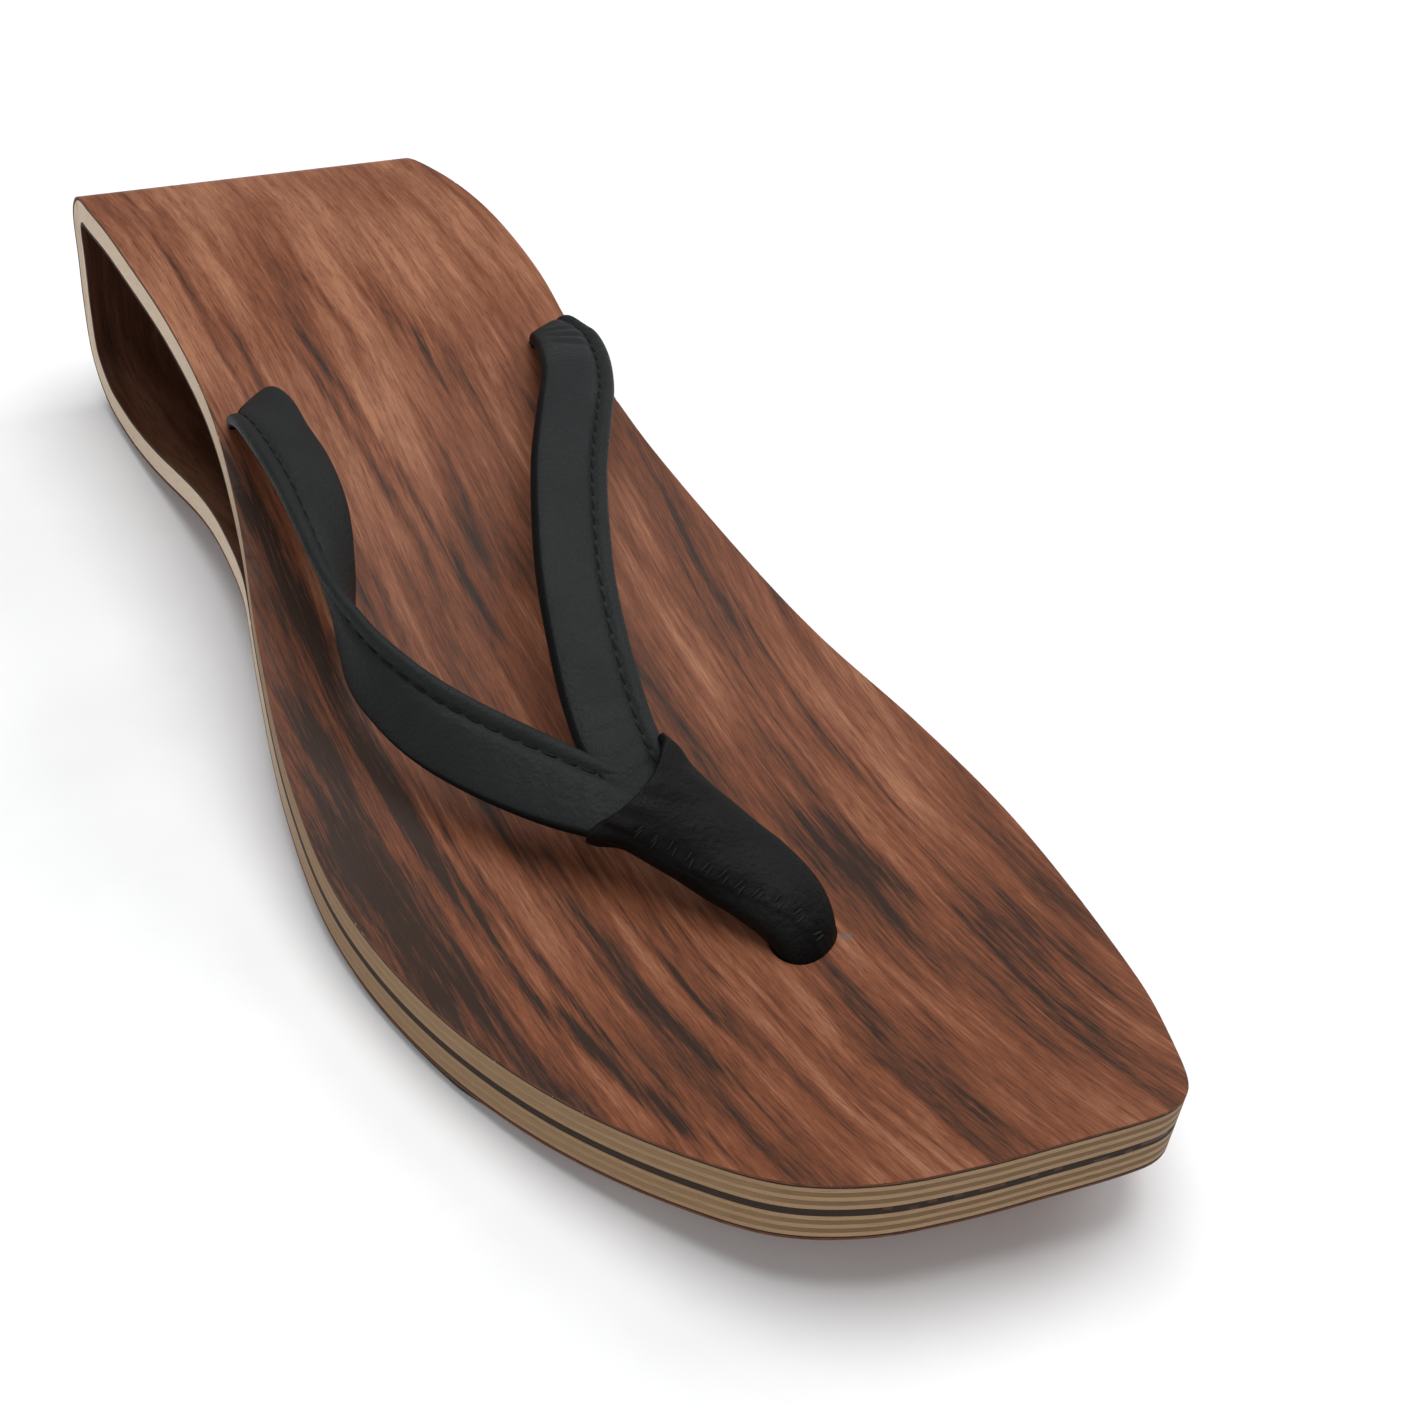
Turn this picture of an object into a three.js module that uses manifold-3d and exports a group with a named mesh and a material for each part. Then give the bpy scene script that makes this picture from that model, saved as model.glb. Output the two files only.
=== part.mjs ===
import * as THREE from "three";
import { mergeVertices } from "three/addons/utils/BufferGeometryUtils.js";
import Module from "manifold-3d";

// A wooden thong sandal for the right foot, in millimetres.
// +Z is up, the toe points along -Y and the inner (medial) side of the foot is +X.
// The origin lies on the floor under the middle of the shoe.

const wasm = await Module();
wasm.setup();

// Layers of the sole, counted inwards from its outer face
const FACE_VENEER = 0.6;
const PLY_CORE = 3.3;
const LOOP_VENEER = 0.45;
const GLUE_GAP = 0.3;
const PLY_START = FACE_VENEER + GLUE_GAP;
const PLY_END = PLY_START + PLY_CORE;
const LINING_START = PLY_END + GLUE_GAP;
const SOLE_THICKNESS = 2 * (LINING_START + LOOP_VENEER);

// Rubber under the sole, flat where it stands on the floor
const RUBBER_GAP = 0.3;
const FOREFOOT_RUBBER = { front: -86, back: -22, margin: 0.8, thickness: 1.7 };
const HEEL_RUBBER = { front: 82, back: 110, margin: 6, thickness: 2.6 };

// Leather
const STRAP_HALF_WIDTH = 6;
const STRAP_CLEARANCE = 0.3;
const SEAM_FLANGE = 3.3;
const TONGUE_HALF_WIDTH = 4.6;
const TONGUE_HALF_THICKNESS = 2.0;

const LONGEST_FACET = 7;
const SHARPEST_TURN = 0.16;
const FINE_STEP = 0.4;
const FOLD_STEPS = 6;
const STRAP_STEP = 3.4;
const POST_STEP = 3.2;
const SLEEVE_SIDES = 20;
const TONGUE_SIDES = 16;
const REAR_CUT = 130;
const SIDE_CUT = 60;
const TOP_CUT = 60;

// Outer face of the sole seen from the side: the footbed up to the heel's fold, the heel, and the
// lower board's rise to where it meets the upper one
const FOOTBED = [
  { y: -127, z: 26.1 },
  { y: -109, z: 19.7 },
  { y: -90, z: 14.9 },
  { y: -71, z: 12.4 },
  { y: -51, z: 11.7 },
  { y: -32, z: 13.0 },
  { y: -12, z: 16.9 },
  { y: 6, z: 22.4 },
  { y: 25, z: 28.8 },
  { y: 43, z: 34.0 },
  { y: 62, z: 38.2 },
  { y: 82, z: 40.5 },
  { y: 100, z: 41.1 },
  { y: 112, z: 40.4 },
];
const HEEL_FOLD = { y: 114.2, z: 33.7, radius: 6.6, start: 1.48, end: -0.15 };
const HEEL = [
  { y: 119.7, z: 27 },
  { y: 118.6, z: 18 },
  { y: 115.6, z: 9 },
  { y: 107.5, z: 3.6 },
  { y: 97.5, z: 2.6 },
  { y: 87.5, z: 3.3 },
  { y: 78, z: 4.7 },
  { y: 59, z: 9.2 },
  { y: 40, z: 12.7 },
  { y: 30, z: 15.0 },
  { y: 22, z: 16.0 },
];
const BOARDS_MEET = 9;

// The outline that the bent sole is sawn to
const OUTLINE = [
  { y: REAR_CUT, lateral: -35.0, medial: 25.0 },
  { y: 118, lateral: -35.0, medial: 26.2 },
  { y: 111, lateral: -35.0, medial: 28.4 },
  { y: 102, lateral: -34.9, medial: 30.0 },
  { y: 90, lateral: -34.8, medial: 31.2 },
  { y: 71, lateral: -34.4, medial: 31.2 },
  { y: 50, lateral: -35.0, medial: 29.6 },
  { y: 29, lateral: -38.2, medial: 30.7 },
  { y: 8, lateral: -43.1, medial: 35.1 },
  { y: -14, lateral: -47.1, medial: 40.8 },
  { y: -35, lateral: -48.5, medial: 46.6 },
  { y: -56, lateral: -45.7, medial: 48.5 },
  { y: -77, lateral: -39.0, medial: 46.2 },
  { y: -97, lateral: -28.6, medial: 41.0 },
];
const TOE_FRONT = [
  { x: -21.3, y: -107.1 },
  { x: -12.6, y: -113.0 },
  { x: -2.1, y: -116.4 },
  { x: 9.7, y: -118.7 },
  { x: 20.4, y: -120.5 },
  { x: 24.8, y: -120.7 },
  { x: 28.0, y: -119.6 },
  { x: 30.6, y: -117.3 },
  { x: 36.2, y: -107.8 },
];

// Middle of each strap arm, the direction from there to its seam, and the share of its full section
const LATERAL_ARM = [
  { x: -28.4, y: 50.6, z: 28.8, sx: -0.83, sy: -0.56, sz: 0, size: 0.72 },
  { x: -28.4, y: 50.3, z: 33.4, sx: -0.83, sy: -0.56, sz: 0, size: 0.72 },
  { x: -28.7, y: 48.4, z: 36.9, sx: -0.83, sy: -0.56, sz: 0.1, size: 0.78 },
  { x: -29.4, y: 44.0, z: 38.6, sx: -0.88, sy: -0.45, sz: 0.15, size: 0.88 },
  { x: -30.0, y: 37.0, z: 39.6, sx: -0.93, sy: -0.25, sz: 0.25, size: 0.95 },
  { x: -30.4, y: 26.5, z: 40.0, sx: -0.93, sy: -0.1, sz: 0.34, size: 1 },
  { x: -31.0, y: 17.5, z: 38.8, sx: -0.86, sy: 0.05, sz: 0.5, size: 1 },
  { x: -32.4, y: 8.5, z: 36.2, sx: -0.63, sy: 0.1, sz: 0.77, size: 1 },
  { x: -33.8, y: 0.5, z: 33.2, sx: -0.33, sy: 0.05, sz: 0.94, size: 1 },
  { x: -34.3, y: -5.5, z: 31.0, sx: -0.05, sy: 0.05, sz: 1, size: 1 },
  { x: -33.9, y: -10.8, z: 29.2, sx: 0.14, sy: 0.03, sz: 0.99, size: 1 },
  { x: -32.3, y: -15.8, z: 27.6, sx: 0.25, sy: 0.11, sz: 0.96, size: 1 },
  { x: -29.5, y: -21.6, z: 25.9, sx: 0.37, sy: 0.26, sz: 0.89, size: 1 },
  { x: -25.6, y: -27.3, z: 24.5, sx: 0.5, sy: 0.37, sz: 0.79, size: 1 },
  { x: -21.2, y: -32.9, z: 23.5, sx: 0.58, sy: 0.44, sz: 0.68, size: 1 },
  { x: -16.6, y: -38.3, z: 22.7, sx: 0.61, sy: 0.54, sz: 0.57, size: 0.97 },
  { x: -11.7, y: -43.5, z: 22.1, sx: 0.65, sy: 0.57, sz: 0.5, size: 0.88 },
  { x: -7.2, y: -48.0, z: 21.2, sx: 0.74, sy: 0.5, sz: 0.45, size: 0.76 },
  { x: -3.2, y: -52.4, z: 19.9, sx: 0.78, sy: 0.47, sz: 0.4, size: 0.66 },
];
const MEDIAL_ARM = [
  { x: 25.2, y: 54.4, z: 29.8, sx: 0.8, sy: 0.6, sz: 0, size: 0.7 },
  { x: 25.2, y: 54.2, z: 34.4, sx: 0.8, sy: 0.6, sz: 0, size: 0.7 },
  { x: 25.2, y: 52.6, z: 37.6, sx: 0.82, sy: 0.55, sz: 0, size: 0.75 },
  { x: 24.9, y: 47.6, z: 39.2, sx: 0.88, sy: 0.4, sz: -0.05, size: 0.9 },
  { x: 22.8, y: 40.2, z: 40.7, sx: 0.93, sy: 0.25, sz: -0.1, size: 0.98 },
  { x: 18.6, y: 30.2, z: 41.8, sx: 0.95, sy: 0.1, sz: -0.17, size: 1 },
  { x: 13.6, y: 21.5, z: 41.7, sx: 0.96, sy: -0.05, sz: -0.17, size: 1 },
  { x: 7.6, y: 11.0, z: 40.0, sx: 0.96, sy: -0.2, sz: -0.17, size: 1 },
  { x: 1.9, y: -1.5, z: 37.0, sx: 0.95, sy: -0.28, sz: -0.15, size: 1 },
  { x: -1.4, y: -10.2, z: 34.4, sx: 0.95, sy: -0.28, sz: -0.12, size: 1 },
  { x: -4.2, y: -20.0, z: 31.2, sx: 0.96, sy: -0.25, sz: -0.05, size: 1 },
  { x: -6.2, y: -29.2, z: 27.9, sx: 0.97, sy: -0.1, sz: 0.08, size: 1 },
  { x: -7.0, y: -36.3, z: 25.5, sx: 0.92, sy: 0.15, sz: 0.2, size: 0.97 },
  { x: -6.4, y: -42.6, z: 23.5, sx: 0.86, sy: 0.33, sz: 0.3, size: 0.86 },
  { x: -4.8, y: -48.0, z: 21.7, sx: 0.8, sy: 0.45, sz: 0.38, size: 0.74 },
  { x: -2.4, y: -53.0, z: 19.9, sx: 0.78, sy: 0.47, sz: 0.4, size: 0.66 },
];
// Toe post: its middle line and the half sizes of the sleeve wrapped round it
const TOE_POST = [
  { x: -8.3, y: -42.3, z: 22.7, width: 7.9, thickness: 5.0, tilt: 0.4 },
  { x: -6.2, y: -45.5, z: 21.9, width: 7.7, thickness: 4.8, tilt: 0.4 },
  { x: -3.3, y: -50.5, z: 20.3, width: 7.1, thickness: 4.3, tilt: 0.38 },
  { x: 0.2, y: -55.9, z: 18.5, width: 6.7, thickness: 4.0, tilt: 0.34 },
  { x: 3.2, y: -61.1, z: 16.8, width: 6.4, thickness: 3.7, tilt: 0.28 },
  { x: 5.4, y: -65.9, z: 14.9, width: 6.1, thickness: 3.5, tilt: 0.2 },
  { x: 6.5, y: -69.6, z: 12.2, width: 5.7, thickness: 3.5, tilt: 0.1 },
  { x: 6.8, y: -71.3, z: 5.0, width: 5.2, thickness: 3.4, tilt: 0 },
];
const POST_ACROSS = { x: 0.82, y: 0.5 };

const MATERIALS = {
  rosewood: new THREE.MeshStandardMaterial({ color: 0x7a4a34, roughness: 0.45, metalness: 0 }),
  darkVeneer: new THREE.MeshStandardMaterial({ color: 0x35241c, roughness: 0.6, metalness: 0 }),
  plywood: new THREE.MeshStandardMaterial({ color: 0xa58a68, roughness: 0.7, metalness: 0 }),
  rubber: new THREE.MeshStandardMaterial({ color: 0x161616, roughness: 0.85, metalness: 0 }),
  leather: new THREE.MeshStandardMaterial({ color: 0x2a2d2d, roughness: 0.55, metalness: 0 }),
};

// Booleans work on position-only meshes with shared corners
function solid(geometry) {
  const bare = geometry.clone();
  bare.deleteAttribute("normal");
  bare.deleteAttribute("uv");
  const merged = mergeVertices(bare, 1e-4);
  return new wasm.Manifold(new wasm.Mesh({
    numProp: 3,
    vertProperties: new Float32Array(merged.attributes.position.array),
    triVerts: new Uint32Array(merged.index.array),
  }));
}

function toMesh(name, manifold, material) {
  const data = manifold.getMesh();
  const geometry = new THREE.BufferGeometry();
  geometry.setAttribute("position", new THREE.BufferAttribute(data.vertProperties, 3));
  geometry.setIndex(new THREE.BufferAttribute(data.triVerts, 1));
  geometry.computeVertexNormals();
  const mesh = new THREE.Mesh(geometry, material);
  mesh.name = name;
  return mesh;
}

// Points on a smooth curve through the given ones, close together only where it turns
function smooth(points) {
  const curve = new THREE.CatmullRomCurve3(points, false, "centripetal");
  const fine = curve.getSpacedPoints(Math.round(curve.getLength() / FINE_STEP));
  const kept = [fine[0]];
  let heading = fine[1].clone().sub(fine[0]);
  for (let i = 1; i < fine.length - 1; i += 1) {
    const next = fine[i + 1].clone().sub(fine[i]);
    const far = fine[i].distanceTo(kept[kept.length - 1]) > LONGEST_FACET;
    if (far || heading.angleTo(next) > SHARPEST_TURN) {
      kept.push(fine[i]);
      heading = next;
    }
  }
  kept.push(fine[fine.length - 1]);
  return kept.map((p) => new THREE.Vector2(p.x, p.y));
}

const SIDE_TO_WORLD = new THREE.Matrix4().makeBasis(
  new THREE.Vector3(0, 1, 0),
  new THREE.Vector3(0, 0, 1),
  new THREE.Vector3(1, 0, 0),
);

// A side view's closed outline, carried right across the shoe
function acrossShoe(outline) {
  const shape = new THREE.Shape(outline);
  const geometry = new THREE.ExtrudeGeometry(shape, { depth: 2 * SIDE_CUT, bevelEnabled: false });
  geometry.translate(0, 0, -SIDE_CUT);
  geometry.applyMatrix4(SIDE_TO_WORLD);
  return solid(geometry);
}

// A curve moved to its right by a distance
function inset(curve, distance) {
  const headings = curve.slice(1).map((p, i) => p.clone().sub(curve[i]).normalize());
  return curve.map((point, i) => {
    const before = headings[Math.max(i - 1, 0)];
    const after = headings[Math.min(i, headings.length - 1)];
    const along = before.clone().add(after).normalize();
    const reach = distance / along.dot(after);
    return new THREE.Vector2(point.x + along.y * reach, point.y - along.x * reach);
  });
}

// The outer face as one open curve, from the toe over the footbed and round the heel back to the toe
function outerFace() {
  const { y, z, radius, start, end } = HEEL_FOLD;
  const fold = new THREE.EllipseCurve(y, z, radius, radius, start, end, true).getPoints(FOLD_STEPS);
  const top = smooth(FOOTBED.map((row) => new THREE.Vector3(row.y, row.z, 0)));
  const forefoot = top.filter((p) => p.x < BOARDS_MEET);
  const underside = inset(forefoot, SOLE_THICKNESS).reverse();
  const heel = HEEL.map((row) => new THREE.Vector2(row.y, row.z));
  const around = [...fold, ...heel, ...underside.slice(0, 2)];
  const lower = smooth(around.map((p) => new THREE.Vector3(p.x, p.y, 0)));
  return [...top.slice(0, -1), ...lower.slice(0, -2), ...underside];
}

const OUTER = outerFace();
const layer = (from, to) => [...inset(OUTER, from), ...inset(OUTER, to).reverse()];

const rearmost = (curve) => curve.reduce((best, p, i) => (p.x > curve[best].x ? i : best), 0);

// The hollow of the heel loop, from where its two boards part
function loopHollow() {
  const line = inset(OUTER, LINING_START + LOOP_VENEER);
  const rear = rearmost(line);
  const lower = line.slice(rear).filter((p) => p.x > 0);
  const heightBelow = (y) => {
    const next = lower.findIndex((p) => p.x < y);
    const [a, b] = [lower[next - 1], lower[next]];
    return a.y + ((b.y - a.y) * (y - a.x)) / (b.x - a.x);
  };
  const upper = line.slice(0, rear).filter((p) => p.x > BOARDS_MEET);
  const open = upper.find((p) => p.y - heightBelow(p.x) > LOOP_VENEER);
  return line.filter((p) => p.x >= open.x);
}

// The saw line seen from above, drawn in by a distance
function sawLine(distance) {
  const lateral = OUTLINE.map((row) => new THREE.Vector3(row.lateral, row.y, 0));
  const medial = OUTLINE.map((row) => new THREE.Vector3(row.medial, row.y, 0)).reverse();
  const front = TOE_FRONT.map((row) => new THREE.Vector3(row.x, row.y, 0));
  return inset(smooth([...lateral, ...front, ...medial]), -distance);
}

function sawn(manifold, distance = 0) {
  const shape = new THREE.Shape(sawLine(distance));
  const geometry = new THREE.ExtrudeGeometry(shape, { depth: TOP_CUT, bevelEnabled: false });
  geometry.translate(0, 0, -5);
  return manifold.intersect(solid(geometry));
}

// A closed skin over rings of points, with a fan of triangles closing each end
function loft(rings) {
  const size = rings[0].length;
  const positions = rings.flat().flatMap((p) => [p.x, p.y, p.z]);
  const faces = [];
  for (let r = 0; r < rings.length - 1; r += 1) {
    for (let k = 0; k < size; k += 1) {
      const a = r * size + k;
      const b = r * size + ((k + 1) % size);
      faces.push(a, b + size, b, a, a + size, b + size);
    }
  }
  const last = (rings.length - 1) * size;
  for (let k = 0; k < size; k += 1) {
    const next = (k + 1) % size;
    faces.push(rings.length * size, k, next);
    faces.push(rings.length * size + 1, last + next, last + k);
  }
  for (const ring of [rings[0], rings[rings.length - 1]]) {
    const middle = ring.reduce((sum, p) => sum.add(p), new THREE.Vector3()).divideScalar(size);
    positions.push(middle.x, middle.y, middle.z);
  }
  const geometry = new THREE.BufferGeometry();
  geometry.setAttribute("position", new THREE.Float32BufferAttribute(positions, 3));
  geometry.setIndex(faces);
  return geometry;
}

// Half of a folded strap's section, from its plain edge to its seam edge
function strapSection(size, clearance) {
  const width = STRAP_HALF_WIDTH;
  const bend = width - SEAM_FLANGE;
  const rows = [
    { across: -width, up: 0 },
    { across: -width + 0.4, up: 0.95 },
    { across: -width + 1.5, up: 1.5 },
    { across: -1.5, up: 1.7 },
    { across: bend - 0.9, up: 1.45 },
    { across: bend + 0.2, up: 0.8 },
    { across: width - 0.2, up: 0.75 },
    { across: width, up: 0 },
  ];
  const half = rows.map((row) => new THREE.Vector2(
    row.across * size + Math.sign(row.across) * clearance,
    row.up * (0.5 + 0.5 * size) + (row.up > 0 ? clearance : 0),
  ));
  const under = half.slice(1, -1).reverse().map((p) => new THREE.Vector2(p.x, -p.y));
  return [...half, ...under];
}

function ellipseSection(width, thickness, corners) {
  return Array.from({ length: corners }, (_, k) => {
    const angle = Math.PI + (2 * Math.PI * k) / corners;
    return new THREE.Vector2(width * Math.cos(angle), -thickness * Math.sin(angle));
  });
}

// Sections set along a path, each turned so that its width follows the given direction.
// The path's two ends are moved outwards by a clearance.
function alongPath(centres, directions, sections, clearance) {
  const last = centres.length - 1;
  return centres.map((centre, i) => {
    const before = centres[Math.max(i - 1, 0)];
    const after = centres[Math.min(i + 1, last)];
    const along = after.clone().sub(before).normalize();
    const wide = directions[i].clone().addScaledVector(along, -directions[i].dot(along)).normalize();
    const thick = wide.clone().cross(along).negate();
    const outwards = (i === last ? clearance : 0) - (i === 0 ? clearance : 0);
    const middle = centre.clone().addScaledVector(along, outwards);
    return sections[i].map((p) => middle.clone().addScaledVector(wide, p.x).addScaledVector(thick, p.y));
  });
}

// Values of a table's column at even steps along its middle line
function resample(rows, columns, step) {
  const path = new THREE.CatmullRomCurve3(
    rows.map((row) => new THREE.Vector3(row.x, row.y, row.z)), false, "centripetal");
  const count = Math.round(path.getLength() / step);
  const lengths = rows.map((_, i) => i / (rows.length - 1));
  return Array.from({ length: count + 1 }, (_, k) => {
    const t = path.getUtoTmapping(k / count);
    const at = Math.min(Math.floor(t * (rows.length - 1)), rows.length - 2);
    const share = (t - lengths[at]) * (rows.length - 1);
    const mixed = { centre: path.getPoint(t) };
    for (const name of columns) {
      mixed[name] = THREE.MathUtils.lerp(rows[at][name], rows[at + 1][name], share);
    }
    return mixed;
  });
}

function strapArm(rows, clearance) {
  const stations = resample(rows, ["sx", "sy", "sz", "size"], STRAP_STEP);
  const rings = alongPath(
    stations.map((s) => s.centre),
    stations.map((s) => new THREE.Vector3(s.sx, s.sy, s.sz)),
    stations.map((s) => strapSection(s.size, clearance)),
    clearance,
  );
  return solid(loft(rings));
}

function postLoft(stations, section, clearance) {
  return solid(loft(alongPath(
    stations.map((s) => s.centre),
    stations.map((s) => new THREE.Vector3(POST_ACROSS.x, POST_ACROSS.y, s.tilt)),
    stations.map(section),
    clearance,
  )));
}

// Both arms, joined to the tongue that runs down inside the sleeve
function straps(clearance = 0) {
  const stations = resample(TOE_POST, ["tilt"], POST_STEP).slice(2, -1);
  const width = TONGUE_HALF_WIDTH + clearance;
  const thickness = TONGUE_HALF_THICKNESS + clearance;
  const tongue = postLoft(stations, () => ellipseSection(width, thickness, TONGUE_SIDES), clearance);
  return strapArm(LATERAL_ARM, clearance).add(strapArm(MEDIAL_ARM, clearance)).add(tongue);
}

function sleeveForm(clearance = 0) {
  const stations = resample(TOE_POST, ["width", "thickness", "tilt"], POST_STEP);
  return postLoft(stations, (s) =>
    ellipseSection(s.width + clearance, s.thickness + clearance, SLEEVE_SIDES), clearance);
}

// Rubber that follows the underside, trimmed to its stretch and cut flat at the floor
function rubberPad({ front, back, margin, thickness }) {
  const reach = 2 * LONGEST_FACET;
  const underside = OUTER.slice(rearmost(OUTER))
    .filter((p) => p.x > front - reach && p.x < back + reach);
  const top = inset(underside, -RUBBER_GAP);
  const bottom = inset(underside, -RUBBER_GAP - thickness);
  const room = new THREE.BoxGeometry(2 * SIDE_CUT, back - front, TOP_CUT);
  room.translate(0, (front + back) / 2, TOP_CUT / 2);
  return sawn(acrossShoe([...top, ...bottom.reverse()]).intersect(solid(room)), margin);
}

const strapHoles = straps(STRAP_CLEARANCE);
const postHole = sleeveForm(STRAP_CLEARANCE);
const drilled = (manifold) => manifold.subtract(strapHoles).subtract(postHole);

const faceVeneer = drilled(sawn(acrossShoe(layer(0, FACE_VENEER))));
const plyStrip = drilled(sawn(acrossShoe(layer(PLY_START, PLY_END))));
const core = acrossShoe(inset(OUTER, LINING_START)).subtract(acrossShoe(loopHollow()));
const coreVeneer = drilled(sawn(core));
const forefootRubber = rubberPad(FOREFOOT_RUBBER);
const heelRubber = rubberPad(HEEL_RUBBER);
const thongStraps = straps();
const postSleeve = sleeveForm().subtract(strapHoles);

const sandal = new THREE.Group();
sandal.add(toMesh("ply_strip", plyStrip, MATERIALS.plywood));
sandal.add(toMesh("face_veneer", faceVeneer, MATERIALS.rosewood));
sandal.add(toMesh("core_veneer", coreVeneer, MATERIALS.darkVeneer));
sandal.add(toMesh("forefoot_rubber", forefootRubber, MATERIALS.rubber));
sandal.add(toMesh("heel_rubber", heelRubber, MATERIALS.rubber));
sandal.add(toMesh("thong_straps", thongStraps, MATERIALS.leather));
sandal.add(toMesh("post_sleeve", postSleeve, MATERIALS.leather));

export default sandal;
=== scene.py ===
# %% [markdown]
# # A wooden thong sandal
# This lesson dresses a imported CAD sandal: a sole of bent plywood with a rosewood face, two rubber treads,
# and a thong of folded black leather whose toe post wears a stitched sleeve.
# The CAD model comes in first and stays as a fixed frame. Every new piece is built in the same metres and
# in the same place as the solid that it stands for.

# %% Load the CAD frame
import bpy
import math
import numpy as np
from contextlib import contextmanager
from mathutils import Matrix, Vector


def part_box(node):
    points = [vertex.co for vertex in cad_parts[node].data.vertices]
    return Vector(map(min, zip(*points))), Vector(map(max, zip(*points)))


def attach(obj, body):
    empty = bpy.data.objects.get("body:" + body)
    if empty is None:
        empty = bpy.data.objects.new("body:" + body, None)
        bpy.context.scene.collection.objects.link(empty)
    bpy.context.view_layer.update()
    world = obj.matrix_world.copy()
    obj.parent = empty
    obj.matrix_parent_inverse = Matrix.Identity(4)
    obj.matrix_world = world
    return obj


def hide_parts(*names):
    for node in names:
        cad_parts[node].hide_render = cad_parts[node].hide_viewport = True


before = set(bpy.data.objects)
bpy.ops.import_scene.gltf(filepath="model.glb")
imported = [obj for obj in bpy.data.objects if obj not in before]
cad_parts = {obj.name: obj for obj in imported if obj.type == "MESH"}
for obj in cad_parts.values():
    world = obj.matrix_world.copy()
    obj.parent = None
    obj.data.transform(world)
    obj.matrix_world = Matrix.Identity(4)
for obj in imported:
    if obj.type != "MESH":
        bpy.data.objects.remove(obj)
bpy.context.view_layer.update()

MM = 0.001
for name in sorted(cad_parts):
    low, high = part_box(name)
    print(name, [round(v / MM, 1) for v in (*low, *high)])

# %% [markdown]
# ## Small tools of the workshop
# Blender's operators act on whatever is selected, so one helper puts every other object down and takes up
# the one to work on. Another opens it for editing with all its corners selected, and shuts it again. One
# runs a modifier and makes its result real, as a saw cut is real. The last two name what was just made, and
# clear a tool away.

# %% Pick a piece, edit it, apply a modifier
def pick_none():
    if bpy.context.object and bpy.context.object.mode != "OBJECT":
        bpy.ops.object.mode_set(mode="OBJECT")
    bpy.ops.object.select_all(action="DESELECT")


def pick(piece):
    pick_none()
    piece.select_set(True)
    bpy.context.view_layer.objects.active = piece


@contextmanager
def editing():
    bpy.ops.object.mode_set(mode="EDIT")
    bpy.ops.mesh.select_all(action="SELECT")
    yield
    bpy.ops.object.mode_set(mode="OBJECT")


def apply_modifier(piece, kind, **settings):
    pick(piece)
    modifier = piece.modifiers.new(kind.title(), kind)
    for key, value in settings.items():
        setattr(modifier, key, value)
    bpy.ops.object.modifier_apply(modifier=modifier.name)


def new_piece(name):
    piece = bpy.context.object
    piece.name = piece.data.name = name
    return piece


def throw_away(piece):
    bpy.data.objects.remove(piece, do_unlink=True)

# %% [markdown]
# ## One smooth line through a few measured points
# The mould's curve, the saw line and the straps' paths are all short tables of measured points. The curve
# used here passes through every point of its table and hardly overshoots, so it suits shapes that were
# measured rather than drawn. The first columns are coordinates, two or three as axes says, and any others,
# such as a strap's size, are smoothed along with them.

# %% Smooth a table
def smooth_through(rows, step, axes=3):
    rows = np.array(rows, float)
    rows = np.vstack([2 * rows[0] - rows[1], rows, 2 * rows[-1] - rows[-2]])
    made = []
    for p0, p1, p2, p3 in zip(rows, rows[1:], rows[2:], rows[3:]):
        t0, t1, t2 = (
            max(np.linalg.norm((b - a)[:axes]), 1e-6) ** 0.5 for a, b in ((p0, p1), (p1, p2), (p2, p3))
        )
        leave = ((p1 - p0) / t0 - (p2 - p0) / (t0 + t1) + (p2 - p1) / t1) * t1
        arrive = ((p2 - p1) / t1 - (p3 - p1) / (t1 + t2) + (p3 - p2) / t2) * t1
        count = max(2, math.ceil(np.linalg.norm((p2 - p1)[:axes]) / step * 4))
        t = np.linspace(0, 1, count, endpoint=False)[:, None]
        cubic = 2 * (p1 - p2) + leave + arrive
        square = 3 * (p2 - p1) - 2 * leave - arrive
        made.append(cubic * t**3 + square * t**2 + leave * t + p1)
    fine = np.vstack([*made, rows[-2:-1]])
    return even_steps(fine, step, axes)


def lengths_along(points, axes=3):
    return np.concatenate([[0], np.cumsum(np.linalg.norm(np.diff(points[:, :axes], axis=0), axis=1))])


def even_steps(points, step, axes=3):
    run = lengths_along(points, axes)
    wanted = np.linspace(0, run[-1], max(2, round(run[-1] / step)) + 1)
    return np.column_stack([np.interp(wanted, run, points[:, k]) for k in range(points.shape[1])])

# %% [markdown]
# ## The mould's curve
# The sole is one strip of veneers pressed round a mould: over the footbed, round a tight fold at the heel's
# top, down the back, along the floor and up to the waist, where the two legs lie together to the toe.
# These are the same side-view sizes as in the CAD source, in millimetres: y to the heel, z up.

# %% Side view of the outer face
SOLE_THICKNESS = 9.9
BOARDS_MEET = 9
FOOTBED = [
    (-127, 26.1), (-109, 19.7), (-90, 14.9), (-71, 12.4), (-51, 11.7), (-32, 13.0), (-12, 16.9), (6, 22.4),
    (25, 28.8), (43, 34.0), (62, 38.2), (82, 40.5), (100, 41.1), (112, 40.4),
]
HEEL_FOLD = {"y": 114.2, "z": 33.7, "radius": 6.6, "start": 1.48, "end": -0.15, "points": 7}
HEEL = [
    (119.7, 27), (118.6, 18), (115.6, 9), (107.5, 3.6), (97.5, 2.6), (87.5, 3.3), (78, 4.7), (59, 9.2),
    (40, 12.7), (30, 15.0), (22, 16.0),
]
PROFILE_STEP = 0.9
LEAD_OUT = 8


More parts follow.
